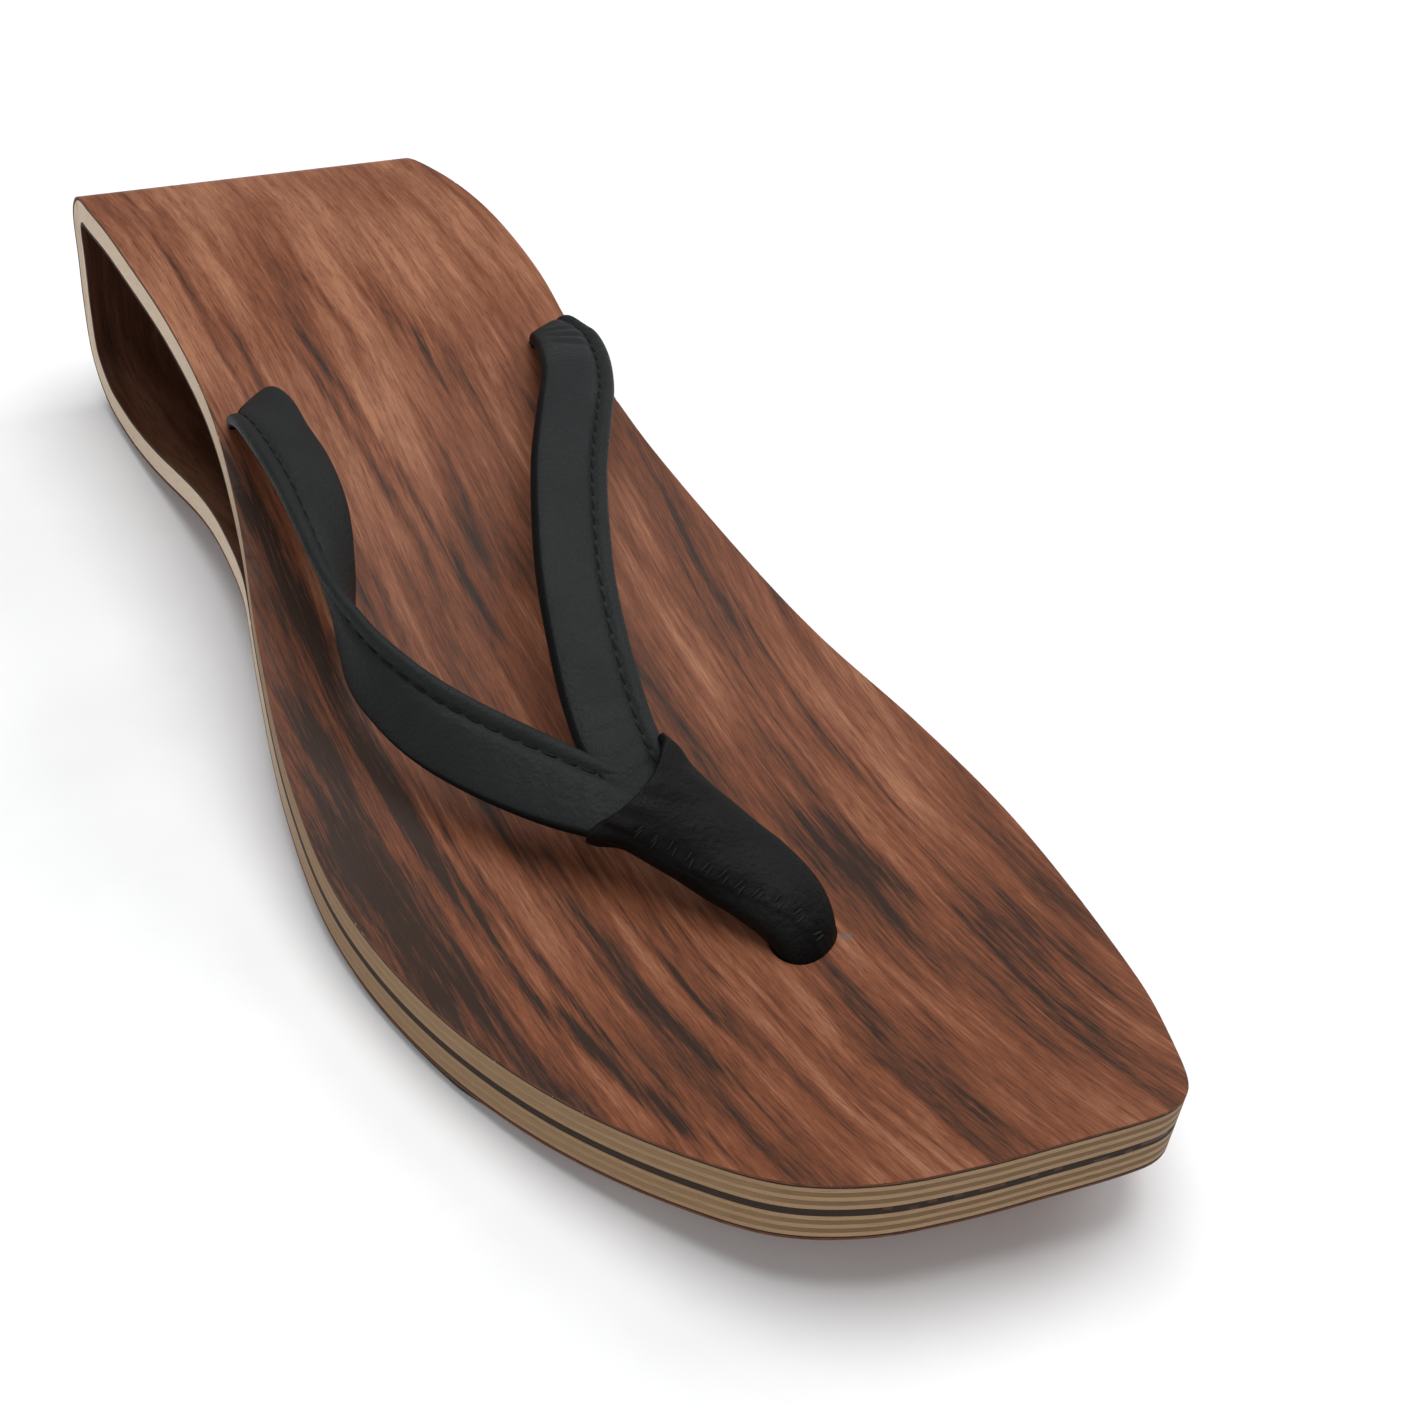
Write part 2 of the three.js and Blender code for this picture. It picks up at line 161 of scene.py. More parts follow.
def headings(curve):
    ahead = np.gradient(curve, axis=0)
    return ahead / np.linalg.norm(ahead, axis=1)[:, None]


def to_the_right(curve, distance):
    ahead = headings(curve)
    return curve + np.column_stack([ahead[:, 1], -ahead[:, 0]]) * distance


footbed = smooth_through(FOOTBED, PROFILE_STEP, 2)
forefoot = footbed[footbed[:, 0] < BOARDS_MEET]
underside = to_the_right(forefoot, SOLE_THICKNESS)[::-1]
turns = np.linspace(HEEL_FOLD["start"], HEEL_FOLD["end"], HEEL_FOLD["points"])
fold = np.column_stack([
    HEEL_FOLD["y"] + HEEL_FOLD["radius"] * np.cos(turns),
    HEEL_FOLD["z"] + HEEL_FOLD["radius"] * np.sin(turns),
])
lower = smooth_through(np.vstack([fold, HEEL, underside[0], underside[LEAD_OUT]]), PROFILE_STEP / 3, 2)
lower = lower[: np.argmin(np.abs(lower - underside[0]).sum(axis=1))]
mould = even_steps(np.vstack([footbed[:-1], lower, underside]), PROFILE_STEP, 2)
mould_run = lengths_along(mould, 2)
mould_ahead = headings(mould)
print("the strip is", round(mould_run[-1]), "mm long, in", len(mould), "steps")

# %% [markdown]
# ## Pressing a flat board round the mould
# Each layer starts as a flat grid as long as the mould's curve, is extruded to its own thickness, and is
# then pressed: every corner keeps its place along, across and in depth, and only the mould bends it. That
# is how the real layers are made, and it keeps the grain running round the heel without a break.

# %% A flat board, pressed
BOARD_HALF_WIDTH = 56
BOARD_COLUMNS = 30


def press(along, across, depth):
    y = np.interp(along, mould_run, mould[:, 0])
    z = np.interp(along, mould_run, mould[:, 1])
    ahead = np.column_stack([np.interp(along, mould_run, mould_ahead[:, k]) for k in (0, 1)])
    ahead /= np.linalg.norm(ahead, axis=1)[:, None]
    return np.column_stack([across, y + ahead[:, 1] * depth, z - ahead[:, 0] * depth])


def pressed_board(name, start, end, top, bottom):
    rows = max(4, round((end - start) / PROFILE_STEP))
    pick_none()
    bpy.ops.mesh.primitive_grid_add(x_subdivisions=rows, y_subdivisions=BOARD_COLUMNS, size=1)
    board = new_piece(name)
    with editing():
        bpy.ops.mesh.extrude_region_move(TRANSFORM_OT_translate={"value": (0, 0, -1)})
    flat = np.array([v.co for v in board.data.vertices])
    along = start + (flat[:, 0] + 0.5) * (end - start)
    depth = np.where(flat[:, 2] > -0.5, top, bottom)
    place_vertices(board, press(along, flat[:, 1] * 2 * BOARD_HALF_WIDTH, depth) * MM)
    face_outwards(board)
    return board


def place_vertices(piece, places):
    piece.data.vertices.foreach_set("co", np.asarray(places, np.float32).ravel())
    piece.data.update()


def face_outwards(piece, weld=1e-4):
    """Corners closer than weld millimetres become one, and every face looks out."""
    pick(piece)
    with editing():
        bpy.ops.mesh.remove_doubles(threshold=weld * MM)
        bpy.ops.mesh.normals_make_consistent(inside=False)

# %% [markdown]
# ## The saw
# After pressing, the block is still a wide slab. It is sawn straight down to the foot's outline, so the
# sawn edge is upright and shows every ply. The saw here is a prism over the outline, and a boolean keeps
# what is inside it.

# %% The saw line and the cut
OUTLINE = [
    # y, lateral x, medial x
    (130, -35.0, 25.0), (118, -35.0, 26.2), (111, -35.0, 28.4), (102, -34.9, 30.0), (90, -34.8, 31.2),
    (71, -34.4, 31.2), (50, -35.0, 29.6), (29, -38.2, 30.7), (8, -43.1, 35.1), (-14, -47.1, 40.8),
    (-35, -48.5, 46.6), (-56, -45.7, 48.5), (-77, -39.0, 46.2), (-97, -28.6, 41.0),
]
TOE_FRONT = [
    (-21.3, -107.1), (-12.6, -113.0), (-2.1, -116.4), (9.7, -118.7), (20.4, -120.5), (24.8, -120.7),
    (28.0, -119.6), (30.6, -117.3), (36.2, -107.8),
]
SAW_STEP = 1.1
SAW_LOW, SAW_HIGH = -5, 60


def saw_prism(name, drawn_in=0.0, front=None):
    lateral = [(x, y) for y, x, _ in OUTLINE]
    medial = [(x, y) for y, _, x in OUTLINE][::-1]
    line = smooth_through([*lateral, *TOE_FRONT, *medial], SAW_STEP, 2)
    line = to_the_right(line, -drawn_in)
    if front is not None:
        line = with_rounded_front(line, front)
    pick_none()
    bpy.ops.mesh.primitive_circle_add(vertices=len(line), fill_type="NGON")
    saw = new_piece(name)
    place_vertices(saw, np.column_stack([line, np.full(len(line), SAW_LOW)]) * MM)
    with editing():
        up = {"value": (0, 0, (SAW_HIGH - SAW_LOW) * MM)}
        bpy.ops.mesh.extrude_region_move(TRANSFORM_OT_translate=up)
    face_outwards(saw)
    return saw


TREAD_CORNER = 24
CORNER_SQUEEZE = 0.42
CORNER_BLUNTNESS = 0.96
FOOT_MIDDLE = {"y": (-120, -40), "x": (8, 2)}


def with_rounded_front(line, front):
    """The outline squeezed in towards the middle near a tread's front end, as its corners are rounded."""
    near = np.clip((front + TREAD_CORNER - line[:, 1]) / TREAD_CORNER, 0, 1)
    squeeze = 1 - CORNER_SQUEEZE * (1 - np.sqrt(1 - CORNER_BLUNTNESS * near**2))
    middle = np.interp(line[:, 1], FOOT_MIDDLE["y"], FOOT_MIDDLE["x"])
    return np.column_stack([middle + (line[:, 0] - middle) * squeeze, line[:, 1]])


def cut(piece, tool, operation):
    apply_modifier(piece, "BOOLEAN", object=tool, operation=operation, solver="EXACT")


FACE_VENEER = (0.0, 0.6)
PLIES = (0.62, 4.35)
LINING = (4.37, 4.94)
whole = mould_run[-1]
saw = saw_prism("saw")
veneer = pressed_board("rosewood_veneer", 0, whole, *FACE_VENEER)
plies = pressed_board("bent_plies", 0, whole, *PLIES)
lining = pressed_board("dark_lining", 0, whole, *LINING)
for board in (veneer, plies, lining):
    cut(board, saw, "INTERSECT")
    print(board.name, len(board.data.polygons), "faces after the saw")

# %% [markdown]
# ## Rubber treads
# A thin rubber sole is glued under the ball of the foot and another pad under the heel. Each is a board
# too, pressed against the outside of the strip, sawn a little inside the outline and worn flat where it
# meets the floor.

# %% Press and trim the treads
def trimmed_below(piece, height):
    pick(piece)
    with editing():
        bpy.ops.mesh.bisect(
            plane_co=(0, 0, height * MM), plane_no=(0, 0, 1), clear_inner=True, use_fill=True, threshold=1e-6,
        )


def place_along(y, leg):
    on_leg = mould_run < mould_run[np.argmax(mould[:, 0])]
    if leg == "lower":
        on_leg = ~on_leg
    return float(mould_run[on_leg][np.argmin(np.abs(mould[on_leg, 0] - y))])


TREADS = [
    # name, node, front y, back y, inside the outline by, thickness
    ("forefoot_tread", "forefoot_rubber", -86, -22, 0.8, 1.7),
    ("heel_tread", "heel_rubber", 82, 110, 6.0, 2.6),
]
TREAD_EDGE = 0.35
GLUE_GAP = 0.08
WORN_IN = 0.3
treads = []
for name, node, front, back, margin, thickness in TREADS:
    start, end = place_along(back, "lower"), place_along(front, "lower")
    tread = pressed_board(name, start, end, -GLUE_GAP, -WORN_IN - thickness)
    inner_saw = saw_prism("inner_saw", margin, front=front)
    cut(tread, inner_saw, "INTERSECT")
    throw_away(inner_saw)
    trimmed_below(tread, 0)
    apply_modifier(
        tread, "BEVEL", width=TREAD_EDGE * MM, segments=2, limit_method="ANGLE", angle_limit=math.radians(50),
    )
    face_outwards(tread)
    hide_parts(node)
    treads.append(tread)
    print(name, [round(v / MM, 1) for v in tread.dimensions])
throw_away(saw)

# %% [markdown]
# ## The leather arms
# Each arm is one piece of thin leather folded over a filler, glued and topstitched along its open edge, so
# its section is a soft bulge with a flat flange beside it. The section is measured once. The arm then is a
# grid of leather, as long as the path, that is folded round the section at every station and turned the way
# the strap twists. An operator can't follow a twisting path, so each corner is placed by the tables.

# %% The arms' tables
LATERAL_ARM = [
    # x, y, z, the way to the seam in x, y, z, size
    (-28.4, 50.2, 28.4, -0.83, -0.56, 0, 0.70), (-28.4, 49.8, 32.0, -0.82, -0.54, -0.06, 0.70),
    (-28.6, 47.9, 35.4, -0.81, -0.50, -0.20, 0.77), (-29.3, 43.6, 37.7, -0.88, -0.42, -0.02, 0.88),
    (-30.0, 36.6, 39.4, -0.93, -0.25, 0.25, 0.95), (-30.4, 26.5, 39.9, -0.93, -0.1, 0.34, 1),
    (-31.0, 17.5, 38.8, -0.86, 0.05, 0.5, 1), (-32.4, 8.5, 36.2, -0.63, 0.1, 0.77, 1),
    (-33.8, 0.5, 33.2, -0.33, 0.05, 0.94, 1), (-34.3, -5.5, 31.0, -0.05, 0.05, 1, 1),
    (-33.9, -10.8, 29.2, 0.14, 0.03, 0.99, 1), (-32.3, -15.8, 27.6, 0.25, 0.11, 0.96, 1),
    (-29.5, -21.6, 25.9, 0.37, 0.26, 0.89, 1), (-25.6, -27.3, 24.5, 0.5, 0.37, 0.79, 1),
    (-21.2, -32.9, 23.5, 0.58, 0.44, 0.68, 1), (-16.6, -38.3, 22.7, 0.61, 0.54, 0.57, 0.97),
    (-11.7, -43.5, 22.1, 0.65, 0.57, 0.5, 0.88), (-7.2, -48.0, 21.2, 0.74, 0.5, 0.45, 0.76),
    (-3.2, -52.4, 19.9, 0.78, 0.47, 0.4, 0.66),
]
MEDIAL_ARM = [
    (25.2, 54.4, 29.8, 0.8, 0.6, 0, 0.7), (25.2, 54.2, 34.4, 0.8, 0.6, 0, 0.7),
    (25.2, 52.6, 37.6, 0.82, 0.55, 0, 0.75), (24.9, 47.6, 39.2, 0.88, 0.4, -0.05, 0.9),
    (22.8, 40.2, 40.7, 0.93, 0.25, -0.1, 0.98), (18.6, 30.2, 41.8, 0.95, 0.1, -0.17, 1),
    (13.6, 21.5, 41.7, 0.96, -0.05, -0.17, 1), (7.6, 11.0, 40.0, 0.96, -0.2, -0.17, 1),
    (1.9, -1.5, 37.0, 0.95, -0.28, -0.15, 1), (-1.4, -10.2, 34.4, 0.95, -0.28, -0.12, 1),
    (-4.2, -20.0, 31.2, 0.96, -0.25, -0.05, 1), (-6.2, -29.2, 27.9, 0.97, -0.1, 0.08, 1),
    (-7.0, -36.3, 25.5, 0.92, 0.15, 0.2, 0.97), (-6.4, -42.6, 23.5, 0.86, 0.33, 0.3, 0.86),
    (-4.8, -48.0, 21.7, 0.8, 0.45, 0.38, 0.74), (-2.4, -53.0, 19.9, 0.78, 0.47, 0.4, 0.66),
]
STITCH_ROW = 3.45
# Half of the section, from the folded edge to the stitched one: across, up
FOLDED_SECTION = [
    (-6.0, 0), (-5.93, 0.5), (-5.6, 1.0), (-5.0, 1.32), (-4.2, 1.52), (-3.0, 1.68), (-1.5, 1.74), (0, 1.7),
    (1.2, 1.6), (2.1, 1.42), (2.75, 1.12), (3.15, 0.78), (STITCH_ROW, 0.55), (3.8, 0.7), (4.15, 0.92),
    (4.7, 1.02), (5.3, 0.92), (5.75, 0.66), (5.95, 0.32), (6.0, 0),
]
ROUND_STEP = 0.36
ARM_STEP = 0.5

# %% [markdown]
# Creases are part of the shape, not of the finish: leather that bends inwards near the post is pushed into
# short troughs across the strap. Each row says where a trough's middle is, how it slants and how deep it is.

# %% Creases, one by one
LATERAL_CREASES = [
    # mm before the post's end, across, half length, half width, slant, depth
    (14, -0.5, 4.2, 0.8, 0.5, 0.22), (18, 0.4, 3.6, 0.7, 0.35, 0.2), (22, -1.2, 3.8, 0.8, 0.45, 0.24),
    (26.5, 0.2, 3.0, 0.7, 0.3, 0.18), (31, -1.5, 3.4, 0.8, 0.5, 0.2), (36, -0.6, 2.8, 0.7, 0.4, 0.14),
    (42, -2.2, 2.6, 0.8, 0.5, 0.16), (58, -2.6, 2.4, 0.9, 0.3, 0.2), (66, -2.4, 2.6, 1.0, 0.2, 0.24),
    (74, -2.2, 2.4, 0.9, -0.2, 0.2), (99, 0, 4.0, 0.9, 0.0, 0.3), (103, 0.4, 4.0, 0.9, 0.1, 0.34),
    (106.5, 0, 3.8, 0.8, 0.0, 0.3),
]
MEDIAL_CREASES = [
    (13, -0.5, 4.2, 0.8, 0.25, 0.24), (16.5, 0.3, 3.8, 0.7, 0.2, 0.2), (20.5, -0.8, 4.0, 0.8, 0.15, 0.24),
    (25, 0.2, 3.0, 0.7, 0.1, 0.16), (30, -1.0, 3.0, 0.8, 0.1, 0.14), (104, 0, 4.0, 0.9, 0, 0.3),
    (107.5, 0, 4.0, 0.9, 0, 0.34), (111, 0, 3.6, 0.8, 0, 0.3),
]
CREASE_STRENGTH = 0.6
RIDGE_SHARE = 0.45
RIDGE_AWAY = 2.1
CREASE_FADE = 0.6


def creased(run, across, rows):
    """Each trough has a lower ridge beside it, where the leather that was pushed out has gone."""
    sunk = np.zeros(np.broadcast(run, across).shape)
    for at, middle, half_length, half_width, slant, depth in rows:
        beside = (run - at - slant * (across - middle)) / half_width
        ends = ((across - middle) / half_length) ** 4
        trough = np.exp(-(beside**2) - ends)
        ridge = np.exp(-((beside - RIDGE_AWAY) ** 2) - ends)
        sunk += depth * CREASE_STRENGTH * (RIDGE_SHARE * ridge - trough)
    return sunk

# %% [markdown]
# Now the folding. Stations run along the path, and at each the section is set with its width towards the
# seam. The sheet's two long edges meet at the stitched edge and are merged there, and its two ends are
# closed.

# %% Fold a sheet of leather along a path
def station_frames(path):
    centre = path[:, :3]
    ahead = headings(centre)
    wide = path[:, 3:6] - np.sum(path[:, 3:6] * ahead, axis=1)[:, None] * ahead
    wide /= np.linalg.norm(wide, axis=1)[:, None]
    thick = np.cross(ahead, wide)
    return centre, ahead, wide, thick


def closed_tube(name, rings):
    """A grid as long as the rings and as wide as their corners, wrapped shut. Its flat map is called hide."""
    stations, corners = rings.shape[:2]
    pick_none()
    bpy.ops.mesh.primitive_grid_add(x_subdivisions=corners, y_subdivisions=stations - 1, size=1)
    piece = new_piece(name)
    wrapped = np.concatenate([rings, rings[:, :1]], axis=1)
    place_vertices(piece, wrapped.reshape(-1, 3) * MM)
    piece.data.uv_layers.active.name = "hide"
    with editing():
        bpy.ops.mesh.remove_doubles(threshold=1e-7)
        bpy.ops.mesh.select_all(action="DESELECT")
        bpy.ops.mesh.select_non_manifold()
        bpy.ops.mesh.edge_face_add()
        bpy.ops.mesh.select_all(action="SELECT")
        bpy.ops.mesh.normals_make_consistent(inside=False)
        bpy.ops.mesh.faces_shade_smooth()
    return piece


def section_loop():
    half = smooth_through(FOLDED_SECTION, ROUND_STEP, 2)
    under = half[1:-1][::-1] * (1, -1)
    return np.vstack([half, under])


def thickness_at(size):
    """Where a strap narrows, it gets thinner by only half as much."""
    return 0.5 + 0.5 * size


def arm_rings(rows, creases=(), clearance=0.0, step=ARM_STEP, corner_step=1):
    path = smooth_through(rows, step)
    centre, _, wide, thick = station_frames(path)
    run = lengths_along(centre)
    loop = section_loop()[::corner_step]
    size = path[:, 6][:, None]
    across = loop[:, 0][None] * size + np.sign(loop[:, 0])[None] * clearance
    up = loop[:, 1][None] * thickness_at(size) + np.sign(loop[:, 1])[None] * clearance
    on_top = np.clip(loop[:, 1][None] / CREASE_FADE, 0, 1)
    up = up + creased((run[-1] - run)[:, None], loop[:, 0][None], creases) * on_top
    return centre[:, None] + wide[:, None] * across[..., None] + thick[:, None] * up[..., None]


def folded_arm(name, rows, creases):
    arm = closed_tube(name, arm_rings(rows, creases))
    length = lengths_along(smooth_through(rows, ARM_STEP))[-1]
    print(name, round(length, 1), "mm long,", len(arm.data.polygons), "faces")
    return arm


lateral_arm = folded_arm("lateral_arm", LATERAL_ARM, LATERAL_CREASES)
medial_arm = folded_arm("medial_arm", MEDIAL_ARM, MEDIAL_CREASES)

# %% [markdown]
# ## The sleeve
# A strip of leather is wrapped round both arms and the tongue below them and whip-stitched shut. It is a
# tube with a real wall at its mouth: the edge is turned in over the leather's thickness. The mouth reaches
# further back at the sides and below than on top, with a small ear at either side, and the tube narrows
# towards the hole that it goes into.

# %% The sleeve's table and its rings
TOE_POST = [
    # x, y, z, half width, half thickness, tilt of the width
    (-8.3, -42.3, 22.9, 7.9, 5.5, 0.4), (-6.2, -45.5, 22.0, 7.7, 5.1, 0.4),
    (-3.3, -50.5, 20.3, 7.1, 4.3, 0.38), (0.2, -55.9, 18.5, 6.7, 4.0, 0.34),
    (2.9, -60.7, 17.0, 6.4, 3.7, 0.28), (4.8, -65.0, 15.4, 6.0, 3.6, 0.2),
    (5.7, -68.3, 12.6, 5.4, 3.5, 0.1), (6.0, -69.9, 5.0, 5.0, 3.3, 0),
]
POST_ACROSS = (0.82, 0.5)
LEATHER = 1.1
MOUTH_REACH = 3.4
MOUTH_ON_TOP = 2.2
MOUTH_CURVE = 1.3
MOUTH_EASE = 14
RIM_BULGE = 0.2
INSIDE_RINGS = (14, 6)
RELIEF_FADE = 8
SQUARENESS = 0.9
SLEEVE_STEP = 0.45
SLEEVE_CORNERS = 72
turn = np.linspace(0, 2 * math.pi, SLEEVE_CORNERS, endpoint=False)


def sleeve_station(path):
    widths = np.column_stack([np.tile(POST_ACROSS, (len(path), 1)), path[:, 5]])
    return station_frames(np.column_stack([path[:, :3], widths]))


WHIP_ROW = {"first": 4.6, "last": 31.4, "count": 11, "from turn": 137, "to turn": 100}
whip_runs = np.linspace(WHIP_ROW["first"], WHIP_ROW["last"], WHIP_ROW["count"])
whip_turns = np.radians(np.interp(
    whip_runs, [WHIP_ROW["first"], 20, WHIP_ROW["last"]], [WHIP_ROW["from turn"], 127, WHIP_ROW["to turn"]],
))
LAP = {"height": 0.28, "past the stitches": 0.16, "step": 0.09, "width": 1.2, "rise": 0.8}
DIMPLE = {"depth": 0.3, "along": 0.75, "round": 0.13}
NEAR_EAR = {"height": 1.7, "turn": 3.35, "along": 2.8, "round": 0.55}
FAR_EAR = {"height": 1.3, "along": 3.6, "round": 0.75}
SLEEVE_WRINKLES = [
    # height, folds round it, twist, mm from the mouth, spread
    (0.16, 13, 0.5, 1.0, 5), (0.10, 5, 0.55, 14, 9),
]


def sleeve_relief(run, turned):
    """The lap and its stitches' dimples, the wrinkles near the mouth, and the mouth's two ears."""
    row = np.interp(run, whip_runs, whip_turns)
    past = turned - row + LAP["width"]
    lap = np.clip((turned - row - LAP["past the stitches"]) / LAP["step"], 0, 1)
    raised = LAP["height"] * (1 - lap) * (past > 0) * np.clip(past / LAP["rise"], 0, 1)
    for at, where in zip(whip_runs, whip_turns):
        away = ((run - at) / DIMPLE["along"]) ** 2 + ((turned - where) / DIMPLE["round"]) ** 2
        raised = raised - DIMPLE["depth"] * np.exp(-away)
    for height, folds, twist, at, spread in SLEEVE_WRINKLES:
        wave = np.sin(turned * folds + run * twist)
        raised = raised + height * wave * np.exp(-((run - at) / spread) ** 2)
    from_ear = (turned - NEAR_EAR["turn"]) / NEAR_EAR["round"]
    near_ear = NEAR_EAR["height"] * np.exp(-((run / NEAR_EAR["along"]) ** 2) - from_ear**2)
    far_side = np.minimum(turned, 2 * math.pi - turned) / FAR_EAR["round"]
    far_ear = FAR_EAR["height"] * np.exp(-((run / FAR_EAR["along"]) ** 4) - far_side**4)
    return raised + near_ear + far_ear


def sleeve_rings(clearance=0.0, step=SLEEVE_STEP, mouth=True):
    path = smooth_through(TOE_POST, step)
    centre, ahead, wide, thick = sleeve_station(path)
    run = lengths_along(centre)
    grown = clearance
    if mouth:
        fade = np.clip((run[-1] - run[:, None]) / RELIEF_FADE, 0, 1)
        grown = sleeve_relief(run[:, None], turn[None]) * fade
    round_wide, round_thick = (
        np.sign(part) * np.abs(part) ** SQUARENESS for part in (np.cos(turn), np.sin(turn))
    )
    rings = (
        centre[:, None]
        + wide[:, None] * ((path[:, 3][:, None] + grown) * round_wide[None])[..., None]
        + thick[:, None] * ((path[:, 4][:, None] + grown) * round_thick[None])[..., None]
    )
    if not mouth:
        return rings
    back = MOUTH_REACH * (1 - np.clip(np.sin(turn), 0, 1) ** MOUTH_CURVE) - MOUTH_ON_TOP
    ease = np.clip(1 - run / MOUTH_EASE, 0, 1) ** 2
    rings = rings - ahead[:, None] * (back[None] * ease[:, None])[..., None]
    inward = centre[0] - ahead[0] * back[:, None] - rings[0]
    inward /= np.linalg.norm(inward, axis=1)[:, None]
    rim = [
        rings[0] + inward * LEATHER * share - ahead[0] * RIM_BULGE * math.sin(math.pi * share)
        for share in (1, 0.75, 0.5, 0.25)
    ]
    inside = [rings[at] + inward * LEATHER for at in INSIDE_RINGS]
    return np.concatenate([np.stack([*inside, *rim]), rings])


post_sleeve = closed_tube("post_sleeve_leather", sleeve_rings())
print("the sleeve has", len(post_sleeve.data.polygons), "faces")

# %% [markdown]
# ## Thread
# The arms are topstitched along the flange on both faces, and the sleeve is whip-stitched. One stitch is
# modelled, a short bent capsule of thread, and is copied to each place, each copy with a mesh of its own.
# The copies of a row are joined into one piece.

# %% One stitch, then rows of them
TOP_STITCH = {"length": 2.5, "radius": 0.24, "arch": 0.08}
TOP_SPACING = 3.0
TOP_SLANT = 0.12
TOP_RISE = 0.52
WHIP_STITCH = {"length": 1.8, "radius": 0.16, "arch": 0.14}
STITCH_ENDS = 0.75
WHIP_STRANDS = [
    # mm along the sleeve, turn round it
    (-0.3, -0.02), (0.32, 0.04),
]
WHIP_LEAN = 0.16


def thread_stitch(name, length, radius, arch):
    pick_none()
    bpy.ops.mesh.primitive_uv_sphere_add(segments=10, ring_count=8, radius=1)
    stitch = new_piece(name)
    with editing():
        bpy.ops.transform.rotate(value=math.radians(90), orient_axis="Y", center_override=(0, 0, 0))
        size = (length / 2 * MM, radius * MM, radius * MM)
        bpy.ops.transform.resize(value=size, center_override=(0, 0, 0))
        bpy.ops.mesh.faces_shade_smooth()
    places = np.array([v.co for v in stitch.data.vertices])
    reach = places[:, 0] / (length / 2 * MM)
    places[:, 0] = np.sign(reach) * np.abs(reach) ** STITCH_ENDS * length / 2 * MM
    places[:, 2] += arch * MM * (1 - reach**2)
    place_vertices(stitch, places)
    return stitch


def sew(name, stitch, spots):
    """Copies of a stitch at spots of (place, along, up), joined."""
    copies = []
    for place, along, up in spots:
        copy = stitch.copy()
        copy.data = stitch.data.copy()
        bpy.context.scene.collection.objects.link(copy)
        side = np.cross(up, along)
        turned = Matrix(np.column_stack([along, side, up]).tolist()).to_4x4()
        turned.translation = Vector(place * MM)
        copy.data.transform(turned)
        copies.append(copy)
    pick_none()
    for copy in copies:
        copy.select_set(True)
    bpy.context.view_layer.objects.active = copies[0]
    bpy.ops.object.join()
    row = new_piece(name)
    throw_away(stitch)
    print(name, len(spots), "stitches,", len(row.data.polygons), "faces")
    return row


def topstitch(name, rows, first, last):
    path = smooth_through(rows, ARM_STEP)
    centre, ahead, wide, thick = station_frames(path)
    run = lengths_along(centre)
    spots = []
    for at in np.arange(first, run[-1] - last, TOP_SPACING):
        k = int(np.argmin(np.abs(run - at)))
        size = path[k, 6]
        for face in (1, -1):
            rise = TOP_RISE * thickness_at(size)
            place = centre[k] + wide[k] * STITCH_ROW * size + thick[k] * face * rise
            along = ahead[k] + TOP_SLANT * wide[k] * face
            along /= np.linalg.norm(along)
            up = thick[k] * face - along * float(np.dot(thick[k] * face, along))
            spots.append((place, along, up / np.linalg.norm(up)))
    return sew(name, thread_stitch("one_stitch", **TOP_STITCH), spots)


def whipstitch(name):
    """Two strands side by side at each place, each pair leaning its own way."""
    path = smooth_through(TOE_POST, SLEEVE_STEP)
    rings = sleeve_rings()[-len(path):]
    run = lengths_along(path)
    spots = []
    for at, where in zip(whip_runs, whip_turns):
        for shift, spread in WHIP_STRANDS:
            k = int(np.argmin(np.abs(run - at - shift)))
            c = int(np.argmin(np.abs(turn - where - spread)))
            ahead = rings[k + 1, c] - rings[k - 1, c]
            round_it = rings[k, (c + 1) % SLEEVE_CORNERS] - rings[k, c - 1]
            ahead, round_it = ahead / np.linalg.norm(ahead), round_it / np.linalg.norm(round_it)
            up = np.cross(ahead, round_it)
            up *= np.sign(np.dot(up, rings[k, c] - path[k, :3]))
            along = round_it * 0.93 + ahead * (WHIP_LEAN * math.sin(at * 2.7) + shift * 0.25)
            along -= up * np.dot(along, up)
            spots.append((rings[k, c] + up * 0.02, along / np.linalg.norm(along), up / np.linalg.norm(up)))
    return sew(name, thread_stitch("one_whip", **WHIP_STITCH), spots)


lateral_topstitch = topstitch("lateral_topstitch", LATERAL_ARM, first=12, last=11)
medial_topstitch = topstitch("medial_topstitch", MEDIAL_ARM, first=12, last=9)
sleeve_whipstitch = whipstitch("sleeve_whipstitch")

# %% [markdown]
# ## Holes for the thong
# The straps go down through two slots at the waist, and the toe post into a hole in the footbed. Each hole
# is cut to the shape of what goes through it, with a hair of room, by a coarser copy of that piece.

# %% Drill the sole
ROOM = 0.25
COARSE = {"clearance": ROOM, "step": 1.5}
drills = [
    closed_tube("lateral_slot", arm_rings(LATERAL_ARM[:6], corner_step=3, **COARSE)),
    closed_tube("medial_slot", arm_rings(MEDIAL_ARM[:6], corner_step=3, **COARSE)),
    closed_tube("post_hole", sleeve_rings(mouth=False, **COARSE)),
]
for drill in drills:
    for board in (veneer, plies, lining):
        cut(board, drill, "DIFFERENCE")
    throw_away(drill)
print("drilled", len(drills), "holes")

# %% [markdown]
# ## Where each corner lies in its flat board
# Wood grain belongs to the flat board, not to the bent shape. Every corner of a wooden piece therefore
# keeps an attribute called board: how far along the strip it is, how far across, and how deep. A material
# that reads it shows grain that bends with the wood, and plies that follow the sawn edge. The slivers that
# the saw leaves are welded away first, and the veneer's sharp edge is eased, as sanding does.

